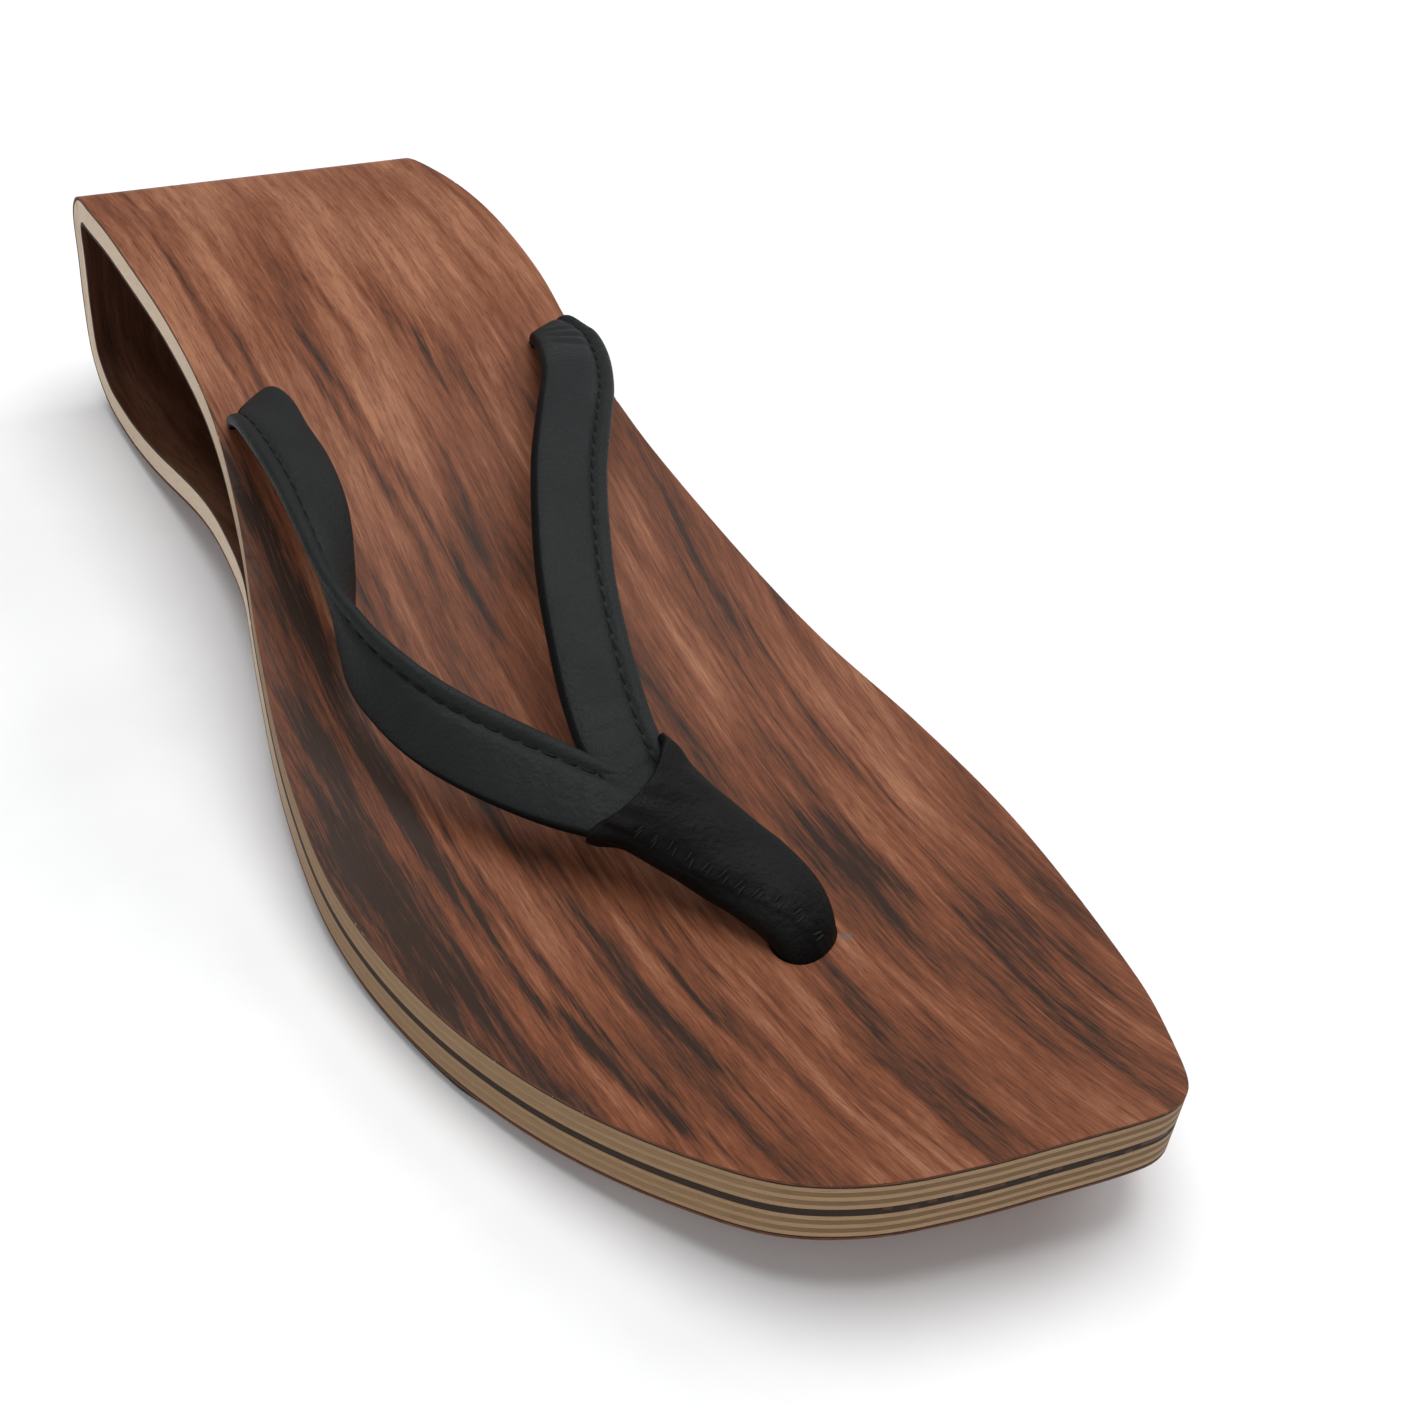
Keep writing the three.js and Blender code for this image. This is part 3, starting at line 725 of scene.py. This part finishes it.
# %% Write the board attribute, tell sawn faces from pressed ones
def board_places(points):
    found = np.full(len(points), 1e9)
    along = np.zeros(len(points))
    depth = np.zeros(len(points))
    side = points[:, 1:3]
    for k in range(len(mould) - 1):
        a, b = mould[k], mould[k + 1]
        share = np.clip(((side - a) @ (b - a)) / ((b - a) @ (b - a)), 0, 1)
        off = side - (a + share[:, None] * (b - a))
        distance = np.linalg.norm(off, axis=1)
        nearer = distance < found
        found[nearer] = distance[nearer]
        along[nearer] = (mould_run[k] + share * (mould_run[k + 1] - mould_run[k]))[nearer]
        depth[nearer] = (off @ np.array([mould_ahead[k][1], -mould_ahead[k][0]]))[nearer]
    return along, np.sign(depth) * found


def write_board(piece):
    points = np.array([v.co for v in piece.data.vertices]) / MM
    along, depth = board_places(points)
    attribute = piece.data.attributes.new("board", "FLOAT_VECTOR", "POINT")
    attribute.data.foreach_set("vector", (np.column_stack([along, points[:, 0], depth]) * MM).ravel())
    return along, depth


SAWN_BELOW = 0.5


def sort_faces(piece):
    """Slot 0 for the pressed faces, slot 1 for the sawn ones, which look across the board's depth."""
    along, depth = write_board(piece)
    for face in piece.data.polygons:
        middle = along[list(face.vertices)].mean()
        ahead_y, ahead_z = (np.interp(middle, mould_run, mould_ahead[:, k]) for k in (0, 1))
        through = abs(face.normal.y * ahead_z - face.normal.z * ahead_y)
        face.material_index = int(through < SAWN_BELOW)
    return sum(face.material_index for face in piece.data.polygons)


SLIVERS = 0.15
EASED_EDGE = 0.16
for board in (veneer, plies, lining):
    face_outwards(board, weld=SLIVERS)
    if board is veneer:
        apply_modifier(
            board, "BEVEL", width=EASED_EDGE * MM, segments=2, limit_method="ANGLE",
            angle_limit=math.radians(55), use_clamp_overlap=True,
        )
    pick(board)
    bpy.ops.object.shade_smooth_by_angle(angle=math.radians(28))
    print(board.name, sort_faces(board), "sawn faces")

# %% [markdown]
# ## Finishes
# A finish is a set of nodes that ends in one Principled shader. A few helpers keep the recipes short: one
# adds any node and wires it, some do arithmetic, and one makes noise that is stretched by a different
# amount in each direction, which is what grain, plies and fibres all are.

# %% Helpers for finishes
class Finish:
    def __init__(self, name):
        self.material = bpy.data.materials.new(name)
        self.material.use_nodes = True
        self.nodes = self.material.node_tree.nodes
        self.links = self.material.node_tree.links
        self.nodes.clear()
        self.shader = self.nodes.new("ShaderNodeBsdfPrincipled")
        output = self.nodes.new("ShaderNodeOutputMaterial")
        self.links.new(self.shader.outputs[0], output.inputs[0])

    def add(self, kind, inputs=(), **settings):
        node = self.nodes.new("ShaderNode" + kind)
        for key, value in settings.items():
            setattr(node, key, value)
        for key, value in dict(inputs).items():
            self.wire(value, node.inputs[key])
        return node

    def wire(self, value, socket):
        if isinstance(value, bpy.types.NodeSocket):
            self.links.new(value, socket)
        else:
            socket.default_value = value

    def surface(self, colour, roughness, gloss=0.5):
        """Gloss is the shine of the bare surface. Black leather has most of its brightness from it."""
        self.wire(colour, self.shader.inputs["Base Color"])
        self.wire(roughness, self.shader.inputs["Roughness"])
        self.shader.inputs["Specular IOR Level"].default_value = gloss

    def maths(self, operation, *values):
        node = self.add("Math", operation=operation)
        for value, socket in zip(values, node.inputs):
            self.wire(value, socket)
        return node.outputs[0]

    def plus(self, first, second):
        return self.maths("ADD", first, second)

    def minus(self, first, second):
        return self.maths("SUBTRACT", first, second)

    def times(self, first, second):
        return self.maths("MULTIPLY", first, second)

    def times_plus(self, first, second, third):
        return self.maths("MULTIPLY_ADD", first, second, third)

    def away_from(self, value, middle):
        return self.maths("ABSOLUTE", self.minus(value, middle))

    def centred(self, value, amount):
        return self.times(self.minus(value, 0.5), amount)

    def scaled(self, vector, amounts):
        node = self.add("VectorMath", operation="MULTIPLY")
        self.wire(vector, node.inputs[0])
        node.inputs[1].default_value = amounts
        return node.outputs[0]

    def joined(self, x, y, z=0.0):
        return self.add("CombineXYZ", {"X": x, "Y": y, "Z": z}).outputs[0]

    def noise(self, vector, amounts, detail=2.0, roughness=0.5, distortion=0.0):
        return self.add("TexNoise", {
            "Vector": self.scaled(vector, amounts), "Scale": 1.0, "Detail": detail, "Roughness": roughness,
            "Distortion": distortion,
        }).outputs["Fac"]

    def eased(self, value, low, high, start=0.0, end=1.0):
        return self.add("MapRange", {
            "Value": value, "From Min": low, "From Max": high, "To Min": start, "To Max": end,
        }, interpolation_type="SMOOTHSTEP").outputs["Result"]

    def ramp(self, value, stops):
        node = self.add("ValToRGB", {"Fac": value})
        bar = node.color_ramp
        while len(bar.elements) < len(stops):
            bar.elements.new(0.5)
        for element, (place, colour) in zip(bar.elements, stops):
            element.position, element.color = place, (*colour, 1)
        return node.outputs["Color"]

    def mixed(self, share, first, second, blend="MIX"):
        node = self.add("Mix", data_type="RGBA", blend_type=blend)
        self.wire(share, node.inputs[0])
        for value, socket in ((first, node.inputs[6]), (second, node.inputs[7])):
            self.wire((*value, 1) if isinstance(value, tuple) else value, socket)
        return node.outputs[2]

    def bumped(self, height, distance, strength=1.0):
        node = self.add("Bump", {"Height": height, "Distance": distance * MM, "Strength": strength})
        self.wire(node.outputs[0], self.shader.inputs["Normal"])

    def places(self):
        """The piece's places in space, in millimetres."""
        return self.scaled(self.add("TexCoord").outputs["Object"], (1000, 1000, 1000))

    def flat_places(self, attribute):
        """The piece's own flat places times 1000: the whole vector, and its three parts."""
        read = self.add("Attribute", attribute_name=attribute, attribute_type="GEOMETRY").outputs["Vector"]
        places = self.scaled(read, (1000, 1000, 1000))
        parts = self.add("SeparateXYZ", {"Vector": places}).outputs
        return places, parts[0], parts[1], parts[2]

# %% [markdown]
# ## Rosewood
# The face is one sliced veneer, so its stripes run the length of the foot: they are noise stretched far
# along the board and read across a line that wanders. The near-black heart lines on the outer side, the
# arched lines at the waist, the clouds on the inner side and a painted shadow of the sleeve beside the toe
# post lie where a table says, and noise frays them. The face is painted paler towards the heel, partly the
# wood's own tone and partly a painted reflection of the sheen there. A smear of glue lies beside the toe
# post. The same recipe, dimmed, makes the dark veneer inside the loop.

# %% The veneer's face
def along_at(y):
    """How far along the board a place of the footbed lies."""
    return place_along(y, "upper")


# The veneer's dark figure, and one row that is the sleeve's painted shadow on the footbed.
STREAKS_AND_SLEEVE_SHADOW = [
    # from y, from x, to y, to x, half width, darkness
    (-99, -25.5, -56, -33.0, 1.5, 1.0), (-66, -32.0, 4, -36.0, 1.5, 1.0),
    (-84, -27.0, 10, -33.2, 0.8, 0.75),
    (-34, -34.5, 46, -35.6, 1.9, 1.0), (-64, -39.5, -4, -42.5, 4.6, 0.42), (-52, -45.0, -20, -46.0, 2.0, 0.4),
    (-92, -17.0, -34, -22.0, 0.8, 0.5), (-84, -12.5, -28, -16.0, 0.7, 0.5), (-76, -20.5, 20, -26.5, 0.8, 0.5),
    (-2, -26.5, 116, -24.0, 0.8, 0.5), (20, -29.5, 116, -27.5, 0.7, 0.5), (40, -20.0, 116, -20.4, 0.7, 0.4),
    (4, -9.0, 68, -15.5, 1.1, 0.62), (14, -13.5, 60, -17.5, 0.9, 0.56), (34, -3.0, 80, -9.5, 0.8, 0.4),
    (-124, 31.0, -96, 27.0, 4.2, 0.34), (-98, 33.5, -66, 32.0, 3.4, 0.38), (-96, 27.0, -68, 27.5, 3.2, 0.36),
    (-76, 25.5, -52, 23.5, 2.6, 0.34), (-70, 20.5, -48, 18.5, 2.2, 0.28), (-46, 32.5, -27, 31.0, 2.2, 0.42),
    (-50, 25.0, -20, 24.0, 2.6, 0.3), (-18, 31.0, 8, 26.5, 2.2, 0.36), (-118, 5.5, -88, 4.5, 1.6, 0.36),
    (-104, -3.0, -74, -6.0, 1.2, 0.34), (-4, 20.0, 46, 12.0, 2.2, 0.4), (40, 9.0, 68, 0.0, 4.0, 0.42),
    # The first row below, beside the toe post, is a painted shadow of the sleeve.
    (-70, -8.0, -44, -11.0, 3.0, 0.26), (64, 3.0, 82, -6.0, 1.4, 0.25), (84, 14.0, 116, 18.0, 1.6, 0.16),
]
BAND_EDGE = (1.7, 0.1)
BAND_ENDS = (7, 10)
GLUE_SMEAR = (-70.8, 11.2)


def rosewood_figure(finish, dark_bands):
    """Tone, the dark bands of the table (one of them a painted shadow), two scales of grain, and where on the
    board it is.
    """
    places, along, across, depth = finish.flat_places("board")
    wander = finish.centred(finish.noise(places, (0.010, 0.020, 0)), 8)
    ripple = finish.centred(finish.noise(places, (0.045, 0.10, 0)), 0.9)
    ring = finish.plus(across, finish.plus(wander, ripple))
    board = finish.joined(along, ring, depth)
    zone = finish.noise(board, (0.016, 0.085, 0.02), detail=3, roughness=0.55)
    band = finish.noise(board, (0.022, 0.34, 0.02), detail=3, roughness=0.6)
    fibre = finish.noise(board, (0.055, 1.2, 0.05), detail=4, roughness=0.66)
    hair = finish.noise(places, (0.26, 3.4, 0.1), detail=3, roughness=0.7)
    tone = finish.plus(finish.centred(zone, 1.9), finish.centred(band, 1.1))
    tone = finish.plus(tone, finish.plus(finish.centred(fibre, 0.95), finish.centred(hair, 0.8)))
    ragged = finish.centred(finish.noise(board, (0.05, 0.9, 0), detail=3, roughness=0.65), 3.2)
    slipped = finish.times_plus(ripple, 0.5, across)
    frayed = finish.centred(finish.noise(board, (0.02, 1.4, 0), detail=2), 46)
    shade = 0.0
    soft, solid = BAND_EDGE
    faded, full = BAND_ENDS
    # Each row darkens the tone; one of them paints the sleeve's shadow.
    for y0, x0, y1, x1, half, dark in dark_bands:
        start, end = along_at(y0), along_at(y1)
        half_long = (end - start) / 2
        lean = (x1 - x0) / (end - start)
        line = finish.times_plus(along, lean, x0 - start * lean)
        torn = finish.times_plus(ragged, min(1, half / 3), slipped)
        beside = finish.eased(finish.away_from(torn, line), half * soft, half * solid)
        from_middle = finish.away_from(finish.plus(along, frayed), (start + end) / 2)
        within = finish.eased(from_middle, half_long + faded, half_long - full)
        dark_band = finish.times(finish.times(beside, within), dark)
        shade = finish.maths("MAXIMUM", dark_band, shade)
    broken = finish.eased(fibre, 0.38, 0.62, 1.2, 0.72)
    return tone, finish.times(shade, broken), hair, fibre, places, along, across


def rosewood_finish(name, dark_bands, dim=1.0):
    finish = Finish(name)
    tone, shade, hair, fibre, places, along, across = rosewood_figure(finish, dark_bands)
    # Painted paler towards the heel: partly the wood's own tone, partly a painted reflection of the sheen
    # there.
    rear = finish.eased(along, 115, 240)
    outer = finish.times(finish.eased(across, -24, -42), finish.eased(along, 185, 130))
    level = finish.plus(finish.eased(rear, 0, 1, 0.48, 0.73), finish.times(outer, -0.16))
    calm = finish.eased(rear, 0, 1, 1.05, 0.9)
    tone = finish.times_plus(tone, calm, level)
    tone = finish.minus(tone, finish.times(shade, 0.56))
    colour = finish.ramp(tone, [
        (0.0, (0.030, 0.016, 0.011)), (0.14, (0.060, 0.025, 0.015)), (0.30, (0.104, 0.036, 0.018)),
        (0.52, (0.160, 0.053, 0.025)), (0.74, (0.216, 0.083, 0.043)), (0.90, (0.262, 0.110, 0.059)),
        (1.0, (0.306, 0.132, 0.071)),
    ])
    pores = finish.noise(places, (0.24, 3.6, 0.3), detail=2, roughness=0.6)
    pore = finish.eased(pores, 0.57, 0.68)
    colour = finish.mixed(finish.times(pore, 0.45), colour, (0.035, 0.015, 0.010))
    if dark_bands is STREAKS_AND_SLEEVE_SHADOW:
        from_smear = finish.joined(
            finish.times(finish.minus(along, along_at(GLUE_SMEAR[0])), 0.9),
            finish.times(finish.minus(across, GLUE_SMEAR[1]), 0.42),
        )
        away = finish.add("VectorMath", {0: from_smear}, operation="LENGTH").outputs["Value"]
        patchy = finish.noise(places, (0.9, 0.9, 0.9), detail=3, roughness=0.7)
        smear = finish.eased(finish.plus(away, finish.times(patchy, 1.3)), 1.35, 0.75)
        colour = finish.mixed(finish.times(smear, 0.75), colour, (0.115, 0.098, 0.092))
    colour = finish.mixed(1.0, colour, (dim, dim, dim), "MULTIPLY")
    finish.surface(colour, finish.eased(fibre, 0.3, 0.75, 0.40, 0.52), 0.12)
    height = finish.minus(finish.times(hair, 0.5), finish.times(pore, 0.8))
    finish.bumped(height, 0.035, 0.6)
    return finish


rosewood = rosewood_finish("rosewood_face", STREAKS_AND_SLEEVE_SHADOW)
print("rosewood has", len(rosewood.nodes), "nodes")

# %% [markdown]
# ## Sawn edges
# Across the saw cut, a ply shows its long fibres or its end grain, depending on which way it was laid. At
# the toe the two kinds stand out as light and dark bands, and along the sides they nearly match. The finish
# therefore reads the depth for the plies and the way the face looks for the contrast. The heel's loop has
# kept the pale colour of new wood. The veneer's own edge is dark, with a few pale chips.

# %% Plies, the veneer's own edge and the dark lining
PLY_COUNT = 5
PALE_PLY = (0.370, 0.245, 0.135)
DARK_PLY = (0.185, 0.108, 0.052)
SIDE_PLY = (0.270, 0.168, 0.088)


def plywood_finish():
    finish = Finish("sawn_plies")
    places, along, _, depth = finish.flat_places("board")
    ply = (PLIES[1] - PLIES[0]) / PLY_COUNT
    waver = finish.centred(finish.noise(places, (0.08, 0.08, 0)), 0.16)
    count = finish.maths("DIVIDE", finish.minus(finish.plus(depth, waver), PLIES[0]), ply)
    within = finish.maths("FRACT", count)
    second = finish.maths("FRACT", finish.times(finish.maths("FLOOR", count), 0.5))
    is_dark = finish.eased(second, 0.2, 0.3)
    glue = finish.eased(finish.away_from(within, 0.5), 0.40, 0.49)
    normal = finish.add("SeparateXYZ", {"Vector": finish.add("NewGeometry").outputs["Normal"]}).outputs
    faces_toe = finish.eased(finish.maths("ABSOLUTE", normal[1]), 0.35, 0.9)
    contrast = finish.times_plus(faces_toe, 0.75, 0.18)
    banded = finish.mixed(is_dark, PALE_PLY, DARK_PLY)
    colour = finish.mixed(contrast, SIDE_PLY, banded)
    fibres = finish.noise(places, (0.35, 0.35, 9.0), detail=3, roughness=0.6)
    ends = finish.noise(places, (3.5, 3.5, 5.0), detail=2, roughness=0.7)
    speckle = finish.plus(finish.times(fibres, 0.65), finish.times(ends, 0.35))
    colour = finish.mixed(0.8, colour, finish.ramp(speckle, [
        (0.3, (0.58, 0.55, 0.52)), (0.5, (0.98, 0.97, 0.96)), (0.7, (1.0, 1.0, 1.0)),
    ]), "MULTIPLY")
    stains = finish.noise(places, (0.03, 0.03, 0.4), detail=2)
    colour = finish.mixed(finish.eased(stains, 0.5, 0.75, 0, 0.35), colour, (0.23, 0.14, 0.08))
    colour = finish.mixed(finish.times(glue, 0.42), colour, (0.10, 0.062, 0.036))
    rear = finish.times(finish.eased(along, 130, 205), finish.eased(along, 440, 365))
    pale = finish.ramp(speckle, [
        (0.32, (0.54, 0.41, 0.29)), (0.5, (0.66, 0.53, 0.40)), (0.7, (0.72, 0.60, 0.46)),
    ])
    pale = finish.mixed(finish.times(glue, 0.25), pale, (0.30, 0.21, 0.14))
    colour = finish.mixed(finish.times(rear, 0.85), colour, pale)
    finish.surface(colour, finish.eased(speckle, 0.3, 0.7, 0.72, 0.58), 0.15)
    finish.bumped(finish.minus(speckle, finish.times(glue, 0.5)), 0.06, 0.7)
    return finish


def sawn_veneer_finish():
    finish = Finish("sawn_veneer")
    places, _, _, depth = finish.flat_places("board")
    inner = finish.eased(depth, 0.30, 0.44)
    grain = finish.noise(places, (0.5, 0.5, 6.0), detail=3)
    colour = finish.ramp(grain, [(0.3, (0.060, 0.022, 0.012)), (0.7, (0.19, 0.075, 0.04))])
    colour = finish.mixed(inner, colour, (0.024, 0.012, 0.008))
    chips = finish.eased(finish.noise(places, (0.55, 0.55, 1.5), detail=3, roughness=0.7), 0.66, 0.70)
    where = finish.eased(finish.noise(places, (0.03, 0.03, 0), detail=1), 0.50, 0.58)
    chip = finish.times(chips, where)
    colour = finish.mixed(chip, colour, (0.62, 0.47, 0.33))
    finish.surface(colour, finish.eased(grain, 0.3, 0.7, 0.6, 0.75), 0.1)
    finish.bumped(finish.minus(grain, chip), 0.08, 0.8)
    return finish


def sawn_lining_finish():
    finish = Finish("sawn_lining")
    places = finish.flat_places("board")[0]
    grain = finish.noise(places, (0.4, 0.4, 5.0), detail=3)
    colour = finish.ramp(grain, [(0.3, (0.022, 0.014, 0.010)), (0.7, (0.042, 0.028, 0.020))])
    finish.surface(colour, finish.eased(grain, 0.3, 0.7, 0.6, 0.75), 0.1)
    finish.bumped(grain, 0.05, 0.6)
    return finish


sawn_plies = plywood_finish()
sawn_veneer = sawn_veneer_finish()
sawn_lining = sawn_lining_finish()
dark_rosewood = rosewood_finish("dark_rosewood", STREAKS_AND_SLEEVE_SHADOW[:2], 0.34)

# %% [markdown]
# ## Leather, thread and rubber
# The leather has a pebbled grain under a millimetre and slow changes of colour and gloss. On the sleeve the
# grain's hollows are darkened with painted shade. An arm's finish also reads the piece's flat map, in
# thousandths: round the section from its folded edge, and along to the post. Next to the folded edge, where
# the leather curls under, it paints shade, and it adds creases there whose grooves get painted shade too.

# %% The black finishes
def leather_finish(name, dark, light, pebble, folded):
    finish = Finish(name)
    places = finish.places()
    cells = finish.add("TexVoronoi", {"Vector": places, "Scale": pebble}, feature="SMOOTH_F1")
    grain = finish.noise(places, (3.2, 3.2, 3.2), detail=3, roughness=0.6)
    height = finish.plus(finish.times(cells.outputs["Distance"], 0.35), finish.times(grain, 0.35))
    slow = finish.noise(places, (0.10, 0.10, 0.10), detail=2)
    pale, kept = finish.eased(slow, 0.6, 0.8), 1.0
    # Painted shade in the hollows of the grain.
    sunk = finish.eased(grain, 0.42, 0.3)
    if folded:
        flat, round_it, along_it, _ = finish.flat_places("hide")
        leaned = finish.joined(finish.times_plus(along_it, 0.55, round_it), along_it)
        scratch = finish.noise(leaned, (1.25, 0.22, 0), detail=3, roughness=0.62, distortion=0.5)
        ridge = finish.eased(finish.away_from(scratch, 0.5), 0.0, 0.13)
        patchy = finish.eased(finish.noise(flat, (0.12, 0.25, 0)), 0.35, 0.6, 0.35, 1)
        # The band by the folded edge that holds the creases; their grooves get painted shade.
        crease_band = finish.times(finish.eased(round_it, 62, 14), patchy)
        height = finish.times_plus(ridge, finish.times(crease_band, 2.6), height)
        # Arms: painted shade where the leather curls under at the folded edge, the colour halved there.
        pale, kept = 1.0, finish.eased(round_it, 8, 70, 0.5, 1.0)
        # Arms: painted shade in the grooves of the creases beside the folded edge.
        sunk = finish.times(finish.minus(1, ridge), crease_band)
    tone = finish.times_plus(grain, 0.5, finish.times(slow, 0.5))
    colour = finish.ramp(tone, [(0.3, dark), (0.7, light)])
    colour = finish.mixed(finish.times(pale, 0.35), colour, tuple(c * 1.9 for c in light))
    # The painted shade of hollows and grooves is mixed in.
    colour = finish.mixed(finish.times(sunk, 0.9), colour, tuple(c * 0.3 for c in dark))
    # The painted shade of the curl is multiplied into the colour.
    colour = finish.mixed(1.0, colour, finish.joined(kept, kept, kept), "MULTIPLY")
    finish.surface(colour, finish.eased(tone, 0.3, 0.7, 0.56, 0.44), 0.1)
    finish.bumped(height, 0.34)
    return finish


def thread_finish(name, dark, light):
    finish = Finish(name)
    places = finish.places()
    strands = finish.add("TexWave", {
        "Vector": places, "Scale": 1.6, "Distortion": 0.8, "Detail": 1.0,
    }, wave_type="BANDS", bands_direction="DIAGONAL").outputs["Fac"]
    colour = finish.ramp(strands, [(0.2, dark), (0.9, light)])
    finish.surface(colour, finish.eased(strands, 0, 1, 0.7, 0.5), 0.12)
    finish.bumped(strands, 0.06, 0.7)
    return finish


def rubber_finish():
    finish = Finish("black_rubber")
    places = finish.places()
    parts = finish.add("SeparateXYZ", {"Vector": places}).outputs
    rib = finish.maths("ABSOLUTE", finish.maths("SINE", finish.times(parts[1], 1.6)))
    dust = finish.noise(places, (0.5, 0.5, 0.5), detail=4, roughness=0.65)
    colour = finish.ramp(dust, [(0.35, (0.012, 0.012, 0.012)), (0.75, (0.045, 0.043, 0.04))])
    finish.surface(colour, finish.eased(dust, 0.3, 0.7, 0.62, 0.85))
    finish.bumped(finish.plus(rib, finish.times(dust, 0.6)), 0.25, 0.6)
    return finish


arm_leather = leather_finish(
    "arm_leather", (0.0052, 0.0057, 0.0058), (0.0120, 0.0130, 0.0131), pebble=1.5, folded=True,
)
sleeve_leather = leather_finish(
    "sleeve_leather", (0.0022, 0.0022, 0.0022), (0.0056, 0.0056, 0.0054), pebble=1.3, folded=False,
)
black_thread = thread_finish("black_thread", (0.003, 0.003, 0.003), (0.010, 0.0105, 0.0108))
waxed_thread = thread_finish("waxed_thread", (0.004, 0.004, 0.004), (0.024, 0.023, 0.021))
black_rubber = rubber_finish()

# %% Give every piece its finish
def wear(piece, *finishes):
    slots = [face.material_index for face in piece.data.polygons]
    piece.data.materials.clear()
    for finish in finishes:
        piece.data.materials.append(finish.material)
    piece.data.polygons.foreach_set("material_index", [min(at, len(finishes) - 1) for at in slots])


wear(veneer, rosewood, sawn_veneer)
wear(plies, sawn_plies)
wear(lining, dark_rosewood, sawn_lining)
wear(post_sleeve, sleeve_leather)
wear(sleeve_whipstitch, waxed_thread)
for arm, topstitching in ((lateral_arm, lateral_topstitch), (medial_arm, medial_topstitch)):
    wear(arm, arm_leather)
    wear(topstitching, black_thread)
for tread in treads:
    wear(tread, black_rubber)
print(len(bpy.data.materials), "materials in the file")

# %% [markdown]
# ## Camera, floor and light
# The camera stands where the photographer stood, worked out from the shoe's own edges. The floor is plain
# and pale. The strongest of the large soft lights hangs overhead and a little behind, and weaker ones stand
# at the right, in front and at the left.

# %% Camera
PHOTO_PIXELS = 1406
PHOTO_FOCAL = 1823.7
SENSOR = 36
FRAMING = 1.14
SHOE_TO_THE_LEFT = -0.065
CAMERA_AT = (-124.243, -225.407, 212.725)
CAMERA_RIGHT = Vector((0.844924, -0.517454, 0.135444))
CAMERA_UP = Vector((0.235903, 0.587757, 0.773881))
camera_data = bpy.data.cameras.new("camera")
camera = bpy.data.objects.new("camera", camera_data)
bpy.context.scene.collection.objects.link(camera)
bpy.context.scene.camera = camera
camera_data.sensor_width = SENSOR
camera_data.lens = PHOTO_FOCAL / PHOTO_PIXELS * SENSOR * FRAMING
camera_data.shift_x = SHOE_TO_THE_LEFT
camera_data.clip_start, camera_data.clip_end = 0.01, 20
back = CAMERA_RIGHT.cross(CAMERA_UP)
camera.matrix_world = Matrix((CAMERA_RIGHT, CAMERA_UP, back)).transposed().to_4x4()
camera.location = Vector(CAMERA_AT) * MM
print("lens", round(camera_data.lens, 2), "mm")

# %% Floor and studio light
pick_none()
bpy.ops.mesh.primitive_plane_add(size=6)
floor = new_piece("floor")
paper = Finish("pale_paper")
paper_places = paper.add("TexCoord").outputs["Object"]
cloudy = paper.noise(paper_places, (40, 40, 40), detail=3)
paper.surface(paper.ramp(cloudy, [(0.3, (0.80, 0.80, 0.80)), (0.7, (0.84, 0.84, 0.84))]), 0.9)
wear(floor, paper)
world = bpy.data.worlds.new("studio")
bpy.context.scene.world = world
world.use_nodes = True
world.node_tree.nodes["Background"].inputs["Color"].default_value = (0.93, 0.96, 1.0, 1)
world.node_tree.nodes["Background"].inputs["Strength"].default_value = 0.30
bpy.context.scene.view_settings.view_transform = "Standard"

SOFT_LIGHTS = [
    # name, place in metres, aimed at, size, power
    ("overhead", (0.10, 0.15, 1.5), (0, 0, 0), 1.3, 21),
    ("window_right", (1.25, 0.2, 1.0), (0, 0, 0), 0.9, 7),
    ("front_fill", (-0.8, -1.0, 0.8), (0, 0, 0), 1.2, 4),
    ("window_left", (-1.3, 0.3, 0.4), (0, 0.05, 0), 1.0, 2),
]
for name, place, aim, size, power in SOFT_LIGHTS:
    lamp = bpy.data.lights.new(name, "AREA")
    lamp.shape, lamp.size, lamp.energy = "DISK", size, power
    light = bpy.data.objects.new(name, lamp)
    bpy.context.scene.collection.objects.link(light)
    light.location = place
    light.rotation_euler = (Vector(aim) - Vector(place)).to_track_quat("-Z", "Y").to_euler()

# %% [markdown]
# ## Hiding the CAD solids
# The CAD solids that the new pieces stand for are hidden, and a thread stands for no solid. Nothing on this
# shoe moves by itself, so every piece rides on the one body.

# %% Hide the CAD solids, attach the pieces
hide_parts("face_veneer")
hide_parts("ply_strip")
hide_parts("core_veneer")
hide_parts("thong_straps")
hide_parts("thong_straps")
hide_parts("post_sleeve")
threads = (lateral_topstitch, medial_topstitch, sleeve_whipstitch)
for piece in (veneer, plies, lining, *treads, lateral_arm, medial_arm, post_sleeve, *threads):
    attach(piece, "root")
